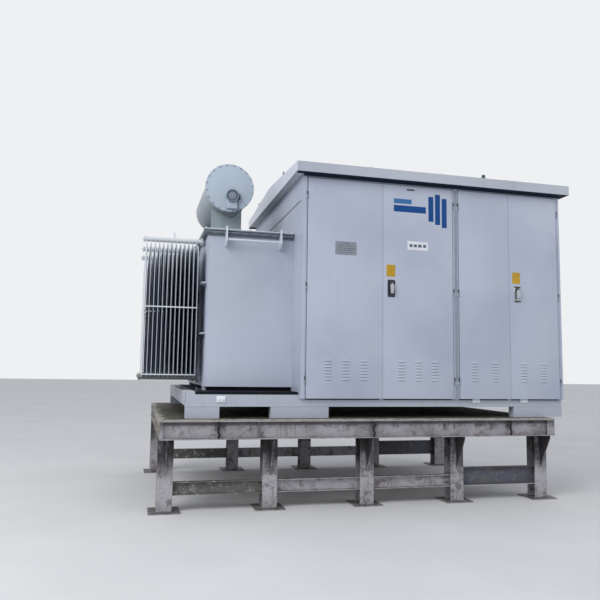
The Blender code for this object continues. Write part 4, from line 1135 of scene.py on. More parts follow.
    def add_seals(self) -> None:
        """Rubber strips round both doorways, just behind the leaves."""
        inset, foot, head, slack, s = 0.030, 0.075, 0.020, 0.0006, self.seal
        strips = []
        for left, right in (("door_1", "door_2"), ("door_3", "door_4")):
            low, high = corners(left)
            x0, x1 = low[0] + inset, corners(right)[1][0] - inset
            z0, z1 = low[2] + foot, high[2] - head
            y0, y1 = high[1] + slack, high[1] + self.leaf_gap - slack
            for a, b in (
                ((x0, y0, z0), (x1, y1, z0 + s)), ((x0, y0, z1 - s), (x1, y1, z1)),
                ((x0, y0, z0 + s), (x0 + s, y1, z1 - s)), ((x1 - s, y0, z0 + s), (x1, y1, z1 - s)),
            ):
                strips.append(block(a, b, 0.002, 2))
        add_piece("doorway_seals", joined(strips), RUBBER_AND_SHADE)


@dataclass
class Door:
    """One hinged leaf with its knuckles, louvres and what is fixed to its face."""

    number: int
    joint: dict
    louvre_columns: int
    louvre_spacing: float
    louvre_shift: float
    hinge_offset: float = 0.010
    knuckle_radius: float = 0.008
    knuckle: float = 0.036
    hinge_inset: float = 0.188
    louvre_width: float = 0.080
    louvre_count: int = 7
    louvre_bottom: float = 0.192
    louvre_pitch: float = 0.032
    louvre_rise: float = 0.020
    louvre_stand: float = 0.007

    def __post_init__(self) -> None:
        """Reads the leaf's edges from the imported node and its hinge."""
        low, high = corners(self.name)
        x, y, _ = self.joint["pos_m"]
        self.hinged_left = self.joint["axis"][2] < 0
        self.hinge_x, self.front, self.back = x, y, high[1]
        self.left = x + self.hinge_offset if self.hinged_left else low[0]
        self.right = high[0] if self.hinged_left else x - self.hinge_offset
        self.bottom, self.top = low[2], high[2]

    @property
    def name(self) -> str:
        """The name of the node and of the body."""
        return f"door_{self.number}"

    @property
    def middle(self) -> float:
        """The middle of the leaf along X."""
        return (self.left + self.right) / 2

    def build(self) -> None:
        """Makes the leaf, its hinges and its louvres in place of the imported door."""
        leaf = block((self.left, self.front, self.bottom), (self.right, self.back, self.top), 0.004, 3)
        made = add_piece(f"{self.name}_leaf", leaf, DOOR_SKIN, self.name)
        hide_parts(self.name)
        self.add_hinges()
        self.add_louvres()
        self.add_inner_tray()
        if self.hinged_left:
            self.add_meeting_strip()

    def add_meeting_strip(self) -> None:
        """A folded lip that fills most of the gap to the other leaf of the pair."""
        reach, recess, depth, inset = 0.0055, 0.0015, 0.012, 0.004
        low = self.right - 0.001, self.front + recess, self.bottom + inset
        high = self.right + reach, self.front + depth, self.top - inset
        add_piece(f"{self.name}_meeting_strip", block(low, high, 0.001), DOOR_SKIN, self.name)

    def add_hinges(self) -> None:
        """Upper knuckles with their tabs and pins, at three heights."""
        low, high = self.bottom + self.hinge_inset, self.top - self.hinge_inset
        side = 1 if self.hinged_left else -1
        r, k = self.knuckle_radius, self.knuckle
        barrel = lathe([(r * 0.8, 0), (r, 0.0015), (r, k - 0.0015), (r * 0.8, k)], 20)
        pin = lathe([(r * 0.45, -0.001), (r * 0.45, k + 0.004), (r * 0.2, k + 0.006)], 12)
        reach = sorted((0, side * 0.020))
        tab = block((reach[0], -0.001, 0.002), (reach[1], 0.006, k - 0.002), 0.001)
        places = [(self.hinge_x, self.front, z) for z in (low, (low + high) / 2, high)]
        add_piece(f"{self.name}_hinges", (barrel + pin).repeated(places), HINGE_DARK, self.name)
        add_piece(f"{self.name}_hinge_tabs", tab.repeated(places), DOOR_SKIN, self.name)

    def louvre_places(self) -> Array:
        """The lower middle point of each louvre on the leaf's face."""
        columns = np.arange(self.louvre_columns) - (self.louvre_columns - 1) / 2
        xs = self.middle + self.louvre_shift + self.louvre_spacing * columns
        zs = self.bottom + self.louvre_bottom + self.louvre_pitch * np.arange(self.louvre_count)
        return offsets_of(xs, self.front, zs)

    def add_louvres(self) -> None:
        """Pressed hoods, each standing out by the louvre's reach times a side curve that
        falls off towards both ends and a rise curve that closes from its lip to its top."""
        across, up = np.meshgrid(np.linspace(-1, 1, 13), np.linspace(0, 1, 6), indexing="ij")
        side = np.sqrt(np.clip(1 - np.abs(across) ** 5, 0, 1))
        rise = np.cos(up * math.pi / 2) ** 1.2
        stand = self.louvre_stand * side * rise
        x = across * self.louvre_width / 2
        z = up * self.louvre_rise
        outer = np.stack([x, -stand - 0.0004, z], -1)
        inner = np.stack([x, np.full_like(x, 0.001), z], -1)
        rings = np.concatenate([outer, inner[:, ::-1]], 1)
        hood = ring_surface(rings)
        hoods = hood.repeated(self.louvre_places())
        add_piece(f"{self.name}_louvres", hoods, DOOR_SKIN, self.name, 50)
        half = self.louvre_width / 2 - 0.004
        slot = block((-half, -0.0045, -0.0022), (half, 0.0005, 0.0004), 0.0004)
        add_piece(f"{self.name}_louvre_gaps", slot.repeated(self.louvre_places()), SHADOW_GAP, self.name)

    def add_inner_tray(self) -> None:
        """Folded stiffeners on the back of the leaf, clear of the frame's posts."""
        inset, stand, foot, head, tall = 0.11, 0.0045, 0.20, 0.14, 0.05
        x0, x1 = self.left + inset, self.right - inset
        y0, y1 = self.back - CLEAR, self.back + stand
        levels = np.linspace(self.bottom + foot, self.top - head - tall, 4)
        bars = [block((x0, y0, z), (x1, y1, z + tall), 0.002) for z in levels]
        add_piece(f"{self.name}_stiffeners", joined(bars), DOOR_SKIN, self.name)

    def panel(self, name: str, x: tuple, z: tuple, finish: Finish, stand: float = 0.0015,
              radius: float = 0.004, sink: float = 0.0005) -> None:
        """A thin flat plate on the leaf's face.

        Args:
            name: what the plate is, added to the door's name.
            x: its left and right edges.
            z: its lower and upper edges.
            finish: what it is made of.
            stand: how far it stands off the face.
            radius: of its corners.
            sink: how far it reaches into the face.
        """
        outline = rounded_rectangle(x[1] - x[0], z[1] - z[0], radius, 3)
        plate = prism(outline, stand + sink, min(0.0005, stand / 3)).turned(Facing.FRONT)
        plate = plate.moved((x[0] + x[1]) / 2, self.front + sink, (z[0] + z[1]) / 2)
        add_piece(f"{self.name}_{name}", plate, finish, self.name)


@dataclass
class Signs:
    """Bare plates and generic coloured marks on the doors, in place of any lettering."""

    doors: list[Door]
    plate: tuple = (0.299, 0.536, 1.505, 1.646)
    plate_rows: tuple = (0.50, 0.80, 0.80, 0.80, 0.62)
    rivet_inset: float = 0.011
    label: tuple = (0.281, 0.523, 1.602, 1.698)
    label_blocks: tuple = ((0.17, 0.15), (0.38, 0.15), (0.60, 0.17), (0.83, 0.14))
    left_tag: tuple = (0.038, 0.138, 1.299, 1.427)
    right_tag: tuple = (0.034, 0.133, 1.291, 1.418)
    slot_reach: tuple = (0.274, 0.365)
    slot_drop: tuple = (0.052, 0.036)
    bars: tuple = (
        (0.122, 0.330, 2.108, 2.160, PALE_BLUE),
        (0.122, 0.500, 2.016, 2.088, BLUE),
        (0.530, 0.590, 1.930, 2.210, BLUE),
        (0.610, 0.670, 1.900, 2.240, BLUE),
        (0.690, 0.750, 1.870, 2.200, BLUE),
    )

    def build(self) -> None:
        """Places the rating plate, the white label, the blue bars and the yellow tags."""
        first, second, _, fourth = self.doors
        self.add_rating_plate(first)
        self.add_label(second)
        self.add_blue_bars(second)
        second.panel("yellow_tag", *self.span(second, *self.left_tag), YELLOW)
        fourth.panel("yellow_tag", *self.span(fourth, *self.right_tag), YELLOW)
        x = tuple(second.left + reach for reach in self.slot_reach)
        z = tuple(second.top - drop for drop in self.slot_drop)
        second.panel("top_slot", x, z, SHADOW_GAP, 0.0012, 0.003)

    @staticmethod
    def span(door: Door, left: float, right: float, low: float, high: float) -> tuple:
        """Ranges of X and Z from distances off the leaf's left and lower edges."""
        return (door.left + left, door.left + right), (door.bottom + low, door.bottom + high)

    def add_rating_plate(self, door: Door) -> None:
        """A metal plate with plain raised bands and a rivet at each corner."""
        x, z = self.span(door, *self.plate)
        door.panel("plate", x, z, PLATE, 0.002, 0.006)
        wide, tall, middle = x[1] - x[0], z[1] - z[0], (x[0] + x[1]) / 2
        bands = []
        for level, share in enumerate(self.plate_rows):
            row = rounded_rectangle(wide * share, tall * 0.045, 0.0015, 1)
            band = prism(row, 0.0008, 0.0002).turned(Facing.FRONT)
            z_row = z[1] - tall * (0.18 + 0.16 * level)
            bands.append(band.moved(middle, door.front - 0.0018, z_row))
        add_piece(f"{door.name}_plate_bands", joined(bands), PLATE_PRINT, door.name)
        rivet = lathe([(0.0045, 0), (0.004, 0.0014), (0.002, 0.0022)], 10).turned(Facing.FRONT)
        edge_x, edge_z = ((a[0] + self.rivet_inset, a[1] - self.rivet_inset) for a in (x, z))
        places = offsets_of(edge_x, door.front - 0.0019, edge_z)
        add_piece(f"{door.name}_plate_rivets", rivet.repeated(places), ZINC, door.name)

    def add_label(self, door: Door) -> None:
        """A white label with four plain blocks in a row."""
        x, z = self.span(door, *self.label)
        door.panel("label", x, z, LABEL, 0.0012, 0.004)
        wide, tall, middle = x[1] - x[0], z[1] - z[0], (z[0] + z[1]) / 2
        marks = []
        for place, share in self.label_blocks:
            outline = rounded_rectangle(wide * share, tall * 0.34, 0.004, 2)
            mark = prism(outline, 0.0006, 0.0001).turned(Facing.FRONT)
            marks.append(mark.moved(x[0] + wide * place, door.front - 0.0011, middle))
        add_piece(f"{door.name}_label_marks", joined(marks), LABEL_PRINT, door.name)

    def add_blue_bars(self, door: Door) -> None:
        """Plain bars of two blues, stepped in height."""
        for number, (*edges, finish) in enumerate(self.bars, 1):
            door.panel(f"blue_bar_{number}", *self.span(door, *edges), finish, 0.0008, 0.003)


@dataclass
class SwingHandle:
    """A door's handle: an escutcheon on the leaf, a turning rotor and a lifting lever."""

    door: Door
    turn: dict
    lift: dict
    plate_finish: Finish
    plate_width: float = 0.084
    plate_length: float = 0.186
    plate_thick: float = 0.006
    rotor_radius: float = 0.021
    rotor_thick: float = 0.009
    lever_width: float = 0.022
    lever_thick: float = 0.012
    lever_length: float = 0.110
    cover_width: tuple = (0.050, 0.034)
    cover_reach: tuple = (0.0135, 0.104)

    def build(self) -> None:
        """Makes the plate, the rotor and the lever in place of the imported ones."""
        x, seat, z = self.turn["pos_m"]
        pivot = self.lift["pos_m"][1]
        self.add_plate(x, z)
        self.add_rotor(x, seat, z, pivot)
        self.add_lever(x, pivot, z)

    def add_plate(self, x: float, z: float) -> None:
        """A flat plate with a bar at each end and a key barrel beside the lever."""
        half = self.plate_width / 2
        low = z - (self.plate_length - half)
        face = self.door.front - self.plate_thick
        outline = rounded_rectangle(self.plate_width, self.plate_length, 0.012, 4)
        plate = prism(outline, self.plate_thick + 0.001, 0.002).turned(Facing.FRONT)
        plate = plate.moved(x, self.door.front + 0.001, (low + z + half) / 2)
        add_piece(f"{self.door.name}_handle_plate", plate, self.plate_finish, self.door.name)
        inset, proud, tall = 0.004, 0.004, 0.016
        ends = x - half + inset, x + half - inset
        bars = [
            block((ends[0], face - proud, level), (ends[1], face + CLEAR, level + tall), 0.002, 2)
            for level in (z + half - 0.022, low + 0.006)
        ]
        key = lathe([(0.011, -0.001), (0.011, 0.004), (0.009, 0.006)], 20).turned(Facing.FRONT)
        bars.append(key.moved(x + 0.024, face, low + 0.045))
        add_piece(f"{self.door.name}_handle_bars", joined(bars), BLACK, self.door.name)

    def add_rotor(self, x: float, seat: float, z: float, pivot: float) -> None:
        """A turned boss with two rounded ears and the pin between them."""
        r, t = self.rotor_radius, self.rotor_thick
        boss = lathe([(r, 0), (r, t - 0.003), (r - 0.003, t), (r * 0.6, t + 0.0003)], 32).turned(Facing.FRONT)
        boss = boss.moved(x, seat, z)
        inner = self.lever_width / 2 + 0.001
        reach = seat - t - pivot
        angle = np.linspace(-math.pi / 2, math.pi / 2, 9)
        curve = np.column_stack([reach + 0.008 * np.cos(angle), 0.0085 * np.sin(angle)])
        outline = np.vstack([[(-0.002, -0.0105)], curve, [(-0.002, 0.0105)]])
        ear = prism(outline, 0.006, 0.001)
        points = np.column_stack([ear.points[:, 2], -ear.points[:, 0], ear.points[:, 1]])
        ear = Shape(points, ear.faces).moved(0, seat - t, z)
        ears = ear.moved(x + inner) + ear.moved(x - inner - 0.006)
        pin = lathe([(0.003, -0.016), (0.003, 0.016)], 12).turned(Facing.RIGHT).moved(x, pivot, z)
        body = f"{self.door.name}_handle_rotor"
        made = add_piece(f"{body}_boss", joined([boss, ears, pin]), BLACK, body)
        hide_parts(body)

    def add_lever(self, x: float, pivot: float, z: float) -> None:
        """A lever that narrows from hub to waist and swells at its grip: each ring is a
        rounded rectangle whose width and thickness follow the distance down the lever."""
        s = np.linspace(0, 1, 15)
        width = self.lever_width * (1 - 0.18 * np.sin(s * math.pi) + 0.04 * s)
        thick = self.lever_thick * (1 - 0.25 * s * (1 - s) * 4 + 0.05 * s)
        bow = 0.002 * np.sin(s * math.pi)
        unit = rounded_rectangle(1.0, 1.0, 0.3, 3)
        end = np.array([0.7, *np.ones(13), 0.75])
        xs = x + unit[None, :, 0] * (width * end)[:, None]
        ys = pivot + bow[:, None] + unit[None, :, 1] * (thick * end)[:, None]
        drop, length = 0.0045, self.lever_length
        level = z - drop - length + drop + s * (length - drop)
        zs = np.broadcast_to(level[:, None], xs.shape)
        rings = np.stack([xs, ys, zs], -1)
        bar = ring_surface(rings)
        bore, wall = 0.0038, 0.003
        half = self.lever_width / 2
        profile = [(bore, -half), (bore + wall, -half + 0.0005), (bore + wall, half - 0.0005), (bore, half)]
        radius, height = np.array([*profile, profile[0]]).T
        angle = 2 * math.pi * np.arange(20) / 20
        ring = np.stack([radius[:, None] * np.cos(angle), radius[:, None] * np.sin(angle),
                         np.broadcast_to(height[:, None], (5, 20))], -1)
        index = np.arange(4 * 20).reshape(4, 20)
        low, high = index, np.roll(index, -1, 0)
        quads = np.stack([low, np.roll(low, -1, 1), np.roll(high, -1, 1), high], -1).reshape(-1, 4)
        hub = Shape(ring[:4].reshape(-1, 3), [quads]).turned(Facing.RIGHT).moved(x, pivot, z)
        body = f"{self.door.name}_handle_lever"
        made = add_piece(f"{body}_bar", bar + hub, LEVER_METAL, body)
        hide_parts(body)
        self.add_lever_cover(x, pivot, z, body)

    def add_lever_cover(self, x: float, pivot: float, z: float, body: str) -> None:
        """A pale pressed cover on the lever, narrowing from under the ears to its tip."""
        wide, narrow = (width / 2 for width in self.cover_width)
        start, end = self.cover_reach
        outline = np.array([(-narrow, -end), (narrow, -end), (wide, -start), (-wide, -start)])
        cover = prism(outline, 0.004, 0.001).turned(Facing.FRONT).moved(x, pivot - 0.004, z)
        add_piece(f"{body}_cover", cover, LEVER_COVER, body)


@dataclass
class Tank:
    """The oil tank: a welded shell with a bolted cover, ribs, feet and a front rail."""

    nodes: dict
    rim: float = 0.045
    rib_reach: float = 0.055
    feet: float = 0.042
    rim_thick: float = 0.014
    bolt_pitch: float = 0.105
    rib_levels: tuple = (0.555, 1.090)
    band_drops: tuple = (0.036, 0.0004)
    band_thick: float = 0.004
    rim_line: tuple = (0.0004, 0.0037)
    rim_line_lap: tuple = (0.0009, 0.002)
    cover_line: tuple = (0.007, 0.0008)
    cover_line_lap: tuple = (0.0010, 0.006)
    under_shade_inset: float = 0.030
    under_shade_depth: float = 0.060
    gasket: tuple = (0.0035, 0.004)
    gasket_proud: float = 0.0012
    gasket_width: float = 0.004

    def build(self) -> None:
        """Dresses the nodes and adds bolts, gasket, welds, sheets of painted shade under the tank and the
        band of painted shadow at the rim.
        """
        dress(self.nodes, ["tank_body"], TANK_PAINT)
        dress(self.nodes, ["tank_cover"], COVER_SHADE_PAINT)
        dress(self.nodes, ["tank_front_rail"], RAIL_PAINT)
        low, high = corners("tank_body")
        cover_low, cover_high = corners("tank_cover")
        self.left, self.right = low[0] + self.rib_reach, high[0]
        self.front, self.back = low[1] + self.rim, high[1] - self.rim
        self.bottom, self.top = low[2] + self.feet, high[2]
        self.add_bolts(cover_low, cover_high)
        self.add_gasket(cover_low, cover_high)
        self.add_welds()
        self.add_under_shade()
        self.add_rim_shadow(cover_low, cover_high)

    def add_rim_shadow(self, low: Array, high: Array) -> None:
        """A grey band of painted shadow under the rim and round its edge, and a pale line along the cover as
        a painted highlight.
        """
        under, thick = self.top - self.rim_thick, self.band_thick
        outer = self.left - thick, self.front - thick, self.back + thick
        z = [under - drop for drop in self.band_drops]
        band = self.strips(outer, (self.left, self.front, self.back), self.right, z, 0.001)
        z = under + self.rim_line[0], self.top - self.rim_line[1]
        line = self.strips(*self.lapped(low, high, *self.rim_line_lap), high[0], z, 0.0006)
        add_piece("tank_rim_band", band + line, COVER_SHADE_PAINT)
        # a pale line along the cover's top edge: painted highlight
        z = high[2] - self.cover_line[0], high[2] + self.cover_line[1]
        line = self.strips(*self.lapped(low, high, *self.cover_line_lap), high[0], z, 0.0008)
        add_piece("tank_cover_edge", line, RAIL_PAINT)

    @staticmethod
    def lapped(low: Array, high: Array, proud: float, deep: float) -> tuple[tuple, tuple]:
        """Outer and inner limits of strips that lap a plate's edges, as strips() needs."""
        outer = low[0] - proud, low[1] - proud, high[1] + proud
        return outer, (low[0] + deep, low[1] + deep, high[1] - deep)

    @staticmethod
    def strips(
        outer: tuple, inner: tuple, right: float, z: tuple, edge: float, steps: int = 1
    ) -> Shape:
        """Strips along the front, back and left, open towards the enclosure.

        Args:
            outer: the strips' outer left, front and back.
            inner: their inner left, front and back.
            right: where the front and the back strip end.
            z: their lower and upper levels.
            edge: the radius of their edges.
            steps: how many facets an edge has.

        Returns:
            the three strips as one surface.
        """
        (x0, y0, y1), (x2, y2, y3) = outer, inner
        return joined([
            block((x0, y0, z[0]), (right, y2, z[1]), edge, steps),
            block((x0, y3, z[0]), (right, y1, z[1]), edge, steps),
            block((x0, y2, z[0]), (x2, y3, z[1]), edge, steps),
        ])

    def add_under_shade(self) -> None:
        """Black sheets of painted shade between the tank and the base, set back from its edges."""
        z = corners("base_front_beam")[1][2] + CLEAR, self.bottom - 0.0005
        inset, deep = self.under_shade_inset, self.under_shade_depth
        outer = self.left + inset, self.front + inset, self.back - inset
        inner = outer[0] + deep, outer[1] + deep, outer[2] - deep
        add_piece("tank_mats", self.strips(outer, inner, self.right - 0.004, z, 0.003, 2), RUBBER_AND_SHADE)

    def add_bolts(self, low: Array, high: Array) -> None:
        """Bolts round three sides of the cover, with nuts under the rim."""
        inset = self.rim * 0.48
        xs = np.arange(low[0] + 0.07, high[0] - 0.05, self.bolt_pitch)
        ys = np.arange(low[1] + inset, high[1] - inset / 2, self.bolt_pitch)
        rows = np.vstack([
            offsets_of(xs, [low[1] + inset, high[1] - inset], high[2]),
            offsets_of(low[0] + inset, ys, high[2]),
        ])
        heads = bolt(0.022, 0.006).repeated(rows)
        under = rows - [0, 0, high[2] - (self.top - self.rim_thick)]
        nuts = bolt(0.022, 0.010).turned(Facing.DOWN).repeated(under)
        add_piece("tank_cover_bolts", heads, PAINTED_BOLT)
        add_piece("tank_cover_nuts", nuts, COVER_SHADE_PAINT)

    def add_gasket(self, low: Array, high: Array) -> None:
        """A dark line of gasket between rim and cover."""
        z = self.top - self.gasket[0], self.top + self.gasket[1]
        proud, wide = self.gasket_proud, self.gasket_width
        outer = low[0] - proud, low[1] - proud, high[1] + proud
        inner = outer[0] + wide, outer[1] + wide, outer[2] - wide
        add_piece("tank_cover_gasket", self.strips(outer, inner, high[0], z, 0.0005), RUBBER_AND_SHADE)

    def add_welds(self) -> None:
        """Beads along the ribs, under the rim and down the corners."""
        beads = []
        half_rib, inset, bead = 0.008, 0.01, 0.005
        for level in self.rib_levels:
            for z in (self.bottom + level - half_rib, self.bottom + level + half_rib):
                ends = (self.left, self.front + inset, z), (self.left, self.back - inset, z)
                beads.append(tube(run(*ends, 24), bead, 6))
        under = self.top - self.rim_thick
        for y in (self.front, self.back):
            beads.append(tube(run((self.left, y, under), (self.right, y, under), 16), bead, 6))
        ends = (self.left, self.front, under), (self.left, self.back, under)
        beads.append(tube(run(*ends, 24), bead, 6))
        for y in (self.front, self.back):
            ends = (self.left, y, self.bottom + 0.004), (self.left, y, under)
            beads.append(tube(run(*ends, 16), 0.004, 6, (0, 1, 0)))
        add_piece("tank_welds", joined(beads), TANK_PAINT)


@dataclass
class Conservator:
    """The oil conservator: a round vessel with a bolted end, saddles, pipe and gauge."""

    nodes: dict
    radius: float = 0.256
    flange_radius: float = 0.276
    flange_thick: float = 0.014
    bolt_count: int = 20
    gauge_radius: float = 0.074
    gauge_rim: float = 0.015
    gauge_neck: tuple = (0.120, 0.030)
    dial_recess: float = 0.0068
    tick_angle: float = 120.0
    tick_count: int = 9
    needle_angle: float = 0.6
    plug_offset: float = 0.074
    plug_drop: float = 0.006
    plug_half: tuple = (0.016, 0.014, 0.031)
    cable_radius: float = 0.004

    def build(self) -> None:
        """Makes the vessel and its end plate, and adds bolts and the gauge."""
        saddles = ["conservator_saddle_front", "conservator_saddle_back"]
        dress(self.nodes, saddles, SADDLE_PAINT)
        dress(self.nodes, ["conservator_pipe"], VESSEL_SIDE)
        low, high = corners("conservator_end_plate")
        shell_low, shell_high = corners("conservator_shell")
        self.x = (low[0] + high[0]) / 2
        self.z = (low[2] + high[2]) / 2
        self.front, self.back = low[1], shell_high[1]
        self.add_vessel(shell_low[1])
        self.add_bolts(shell_low[1])
        self.add_gauge()

    def add_vessel(self, start: float) -> None:
        """A turned shell with a rolled back end, and the plate that closes its front."""
        r, f, t = self.radius, self.flange_radius, self.flange_thick
        length = self.back - start
        bend = np.linspace(0, math.pi / 2, 7)
        knuckle = [(r - 0.035 * (1 - math.cos(a)), length - 0.035 + 0.035 * math.sin(a)) for a in bend]
        profile = [
            (f - 0.001, 0), (f, 0.001), (f, t - 0.001), (f - 0.001, t), (r + 0.006, t),
            (r + 0.001, t + 0.006), (r, t + 0.010), (r, length * 0.5 - 0.006),
            (r + 0.002, length * 0.5), (r, length * 0.5 + 0.006), *knuckle, (r * 0.5, length - 0.0002),
        ]
        shell = lathe(profile, 72).turned(Facing.BACK).moved(self.x, start, self.z)
        made = add_piece("conservator_vessel", shell, VESSEL_SIDE)
        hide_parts("conservator_shell")
        disc = [
            (f - 0.002, 0), (f, 0.002), (f, t - 0.002), (f - 0.002, t), (r * 0.80, t),
            (r * 0.78, t + 0.0016), (r * 0.5, t + 0.0018),
        ]
        plate = lathe(disc, 72).turned(Facing.FRONT).moved(self.x, self.front + t, self.z)
        made = add_piece("conservator_front_plate", plate, VESSEL)
        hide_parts("conservator_end_plate")

    def add_bolts(self, start: float) -> None:
        """Bolts through the end plate, with nuts behind the flange."""
        ring = ring_of(self.flange_radius - 0.011, self.bolt_count, math.pi / self.bolt_count)
        heads = bolt(0.013, 0.002).repeated(ring).turned(Facing.FRONT).moved(self.x, self.front, self.z)
        back = start + self.flange_thick
        nuts = bolt(0.016, 0.006).repeated(ring).turned(Facing.BACK).moved(self.x, back, self.z)
        add_piece("conservator_bolts", heads + nuts, PAINTED_BOLT)

    def add_gauge(self) -> None:
        """A round oil gauge: a case on a box neck, a grey dial in a dark ring, a hub with a
        needle, and a side plug whose thin cable runs down and back."""
        low, high = corners("oil_gauge")
        x = (low[0] + high[0]) / 2
        radius = self.gauge_radius
        z = high[2] - radius
        front, back = low[1], high[1]
        depth = back - front
        rim = radius - self.gauge_rim
        case = lathe([
            (radius * 0.93, 0), (radius * 0.95, 0.003), (radius * 0.95, depth - 0.014),
            (radius, depth - 0.011), (radius, depth - 0.002), (radius - 0.002, depth),
            (rim + 0.002, depth), (rim, depth - 0.004), (rim - 0.001, depth - 0.007),
        ], 48).turned(Facing.FRONT).moved(x, back, z)
        half, deep = self.gauge_neck[0] / 2, self.gauge_neck[1]
        neck = block((x - half, back - deep, low[2]), (x + half, back, z), 0.006, 3)
        made = add_piece("oil_gauge_case", case, GAUGE_CASE)
        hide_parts("oil_gauge")
        made = add_piece("oil_gauge_neck", neck, VESSEL)
        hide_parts("oil_gauge")
        face = front + self.dial_recess
        ring = lathe([(rim - 0.0007, 0), (rim - 0.0007, 0.0010)], 48)
        dial = lathe([(rim - 0.0150, 0.0005), (rim - 0.0150, 0.0013), (rim - 0.0156, 0.0016)], 48)
        hub = lathe([(0.0145, 0.0010), (0.0145, 0.0020), (0.0135, 0.0024)], 24)
        angles = np.radians(np.linspace(-self.tick_angle, self.tick_angle, self.tick_count))
        tick = block((-0.0014, 0.034, 0.0012), (0.0014, 0.041, 0.0020), 0.0002)
        ticks = [tick.spun(-a) for a in angles]
        cap = lathe([(0.0065, 0.0020), (0.0065, 0.0030), (0.0050, 0.0034)], 20)
        needle = block((-0.0016, -0.010, 0.0013), (0.0016, 0.032, 0.0023), 0.0004)
        marks = joined([needle.spun(self.needle_angle), *ticks])
        for name, shape, finish in (
            ("dial", dial, DIAL), ("rings", ring + hub, GAUGE_RING),
            ("cap", cap, LABEL), ("needle", marks, NEEDLE),
        ):
            add_piece(f"oil_gauge_{name}", shape.turned(Facing.FRONT).moved(x, face, z), finish)
        self.add_gauge_cable(x, (front + back) / 2, z)

    def add_gauge_cable(self, x: float, y: float, z: float) -> None:
        """A plug on the case's right side, and its cable down and back to the tank."""
        plug_x, plug_z = x + self.plug_offset, z - self.plug_drop
        wide, deep, tall = self.plug_half
        start = plug_x - wide, y - deep, plug_z - tall
        end = plug_x + wide, y + deep, plug_z + tall
        add_piece("oil_gauge_plug", block(start, end, 0.006, 3), BLACK)
        bottom = plug_z - 0.030
        down = self.z - self.radius - 0.022
        cable_x = plug_x - 0.011
        path = smooth_path([
            (cable_x, y, bottom), (cable_x, y, bottom - 0.05), (cable_x - 0.002, y + 0.002, down + 0.04),
            (cable_x - 0.002, y + 0.030, down), (cable_x - 0.004, y + 0.16, down - 0.006),
            (cable_x - 0.050, self.front + 0.233, down - 0.006),
        ], 48)
        add_piece("oil_gauge_cable", tube(path, self.cable_radius, 10, (1, 0, 0)), CABLE)


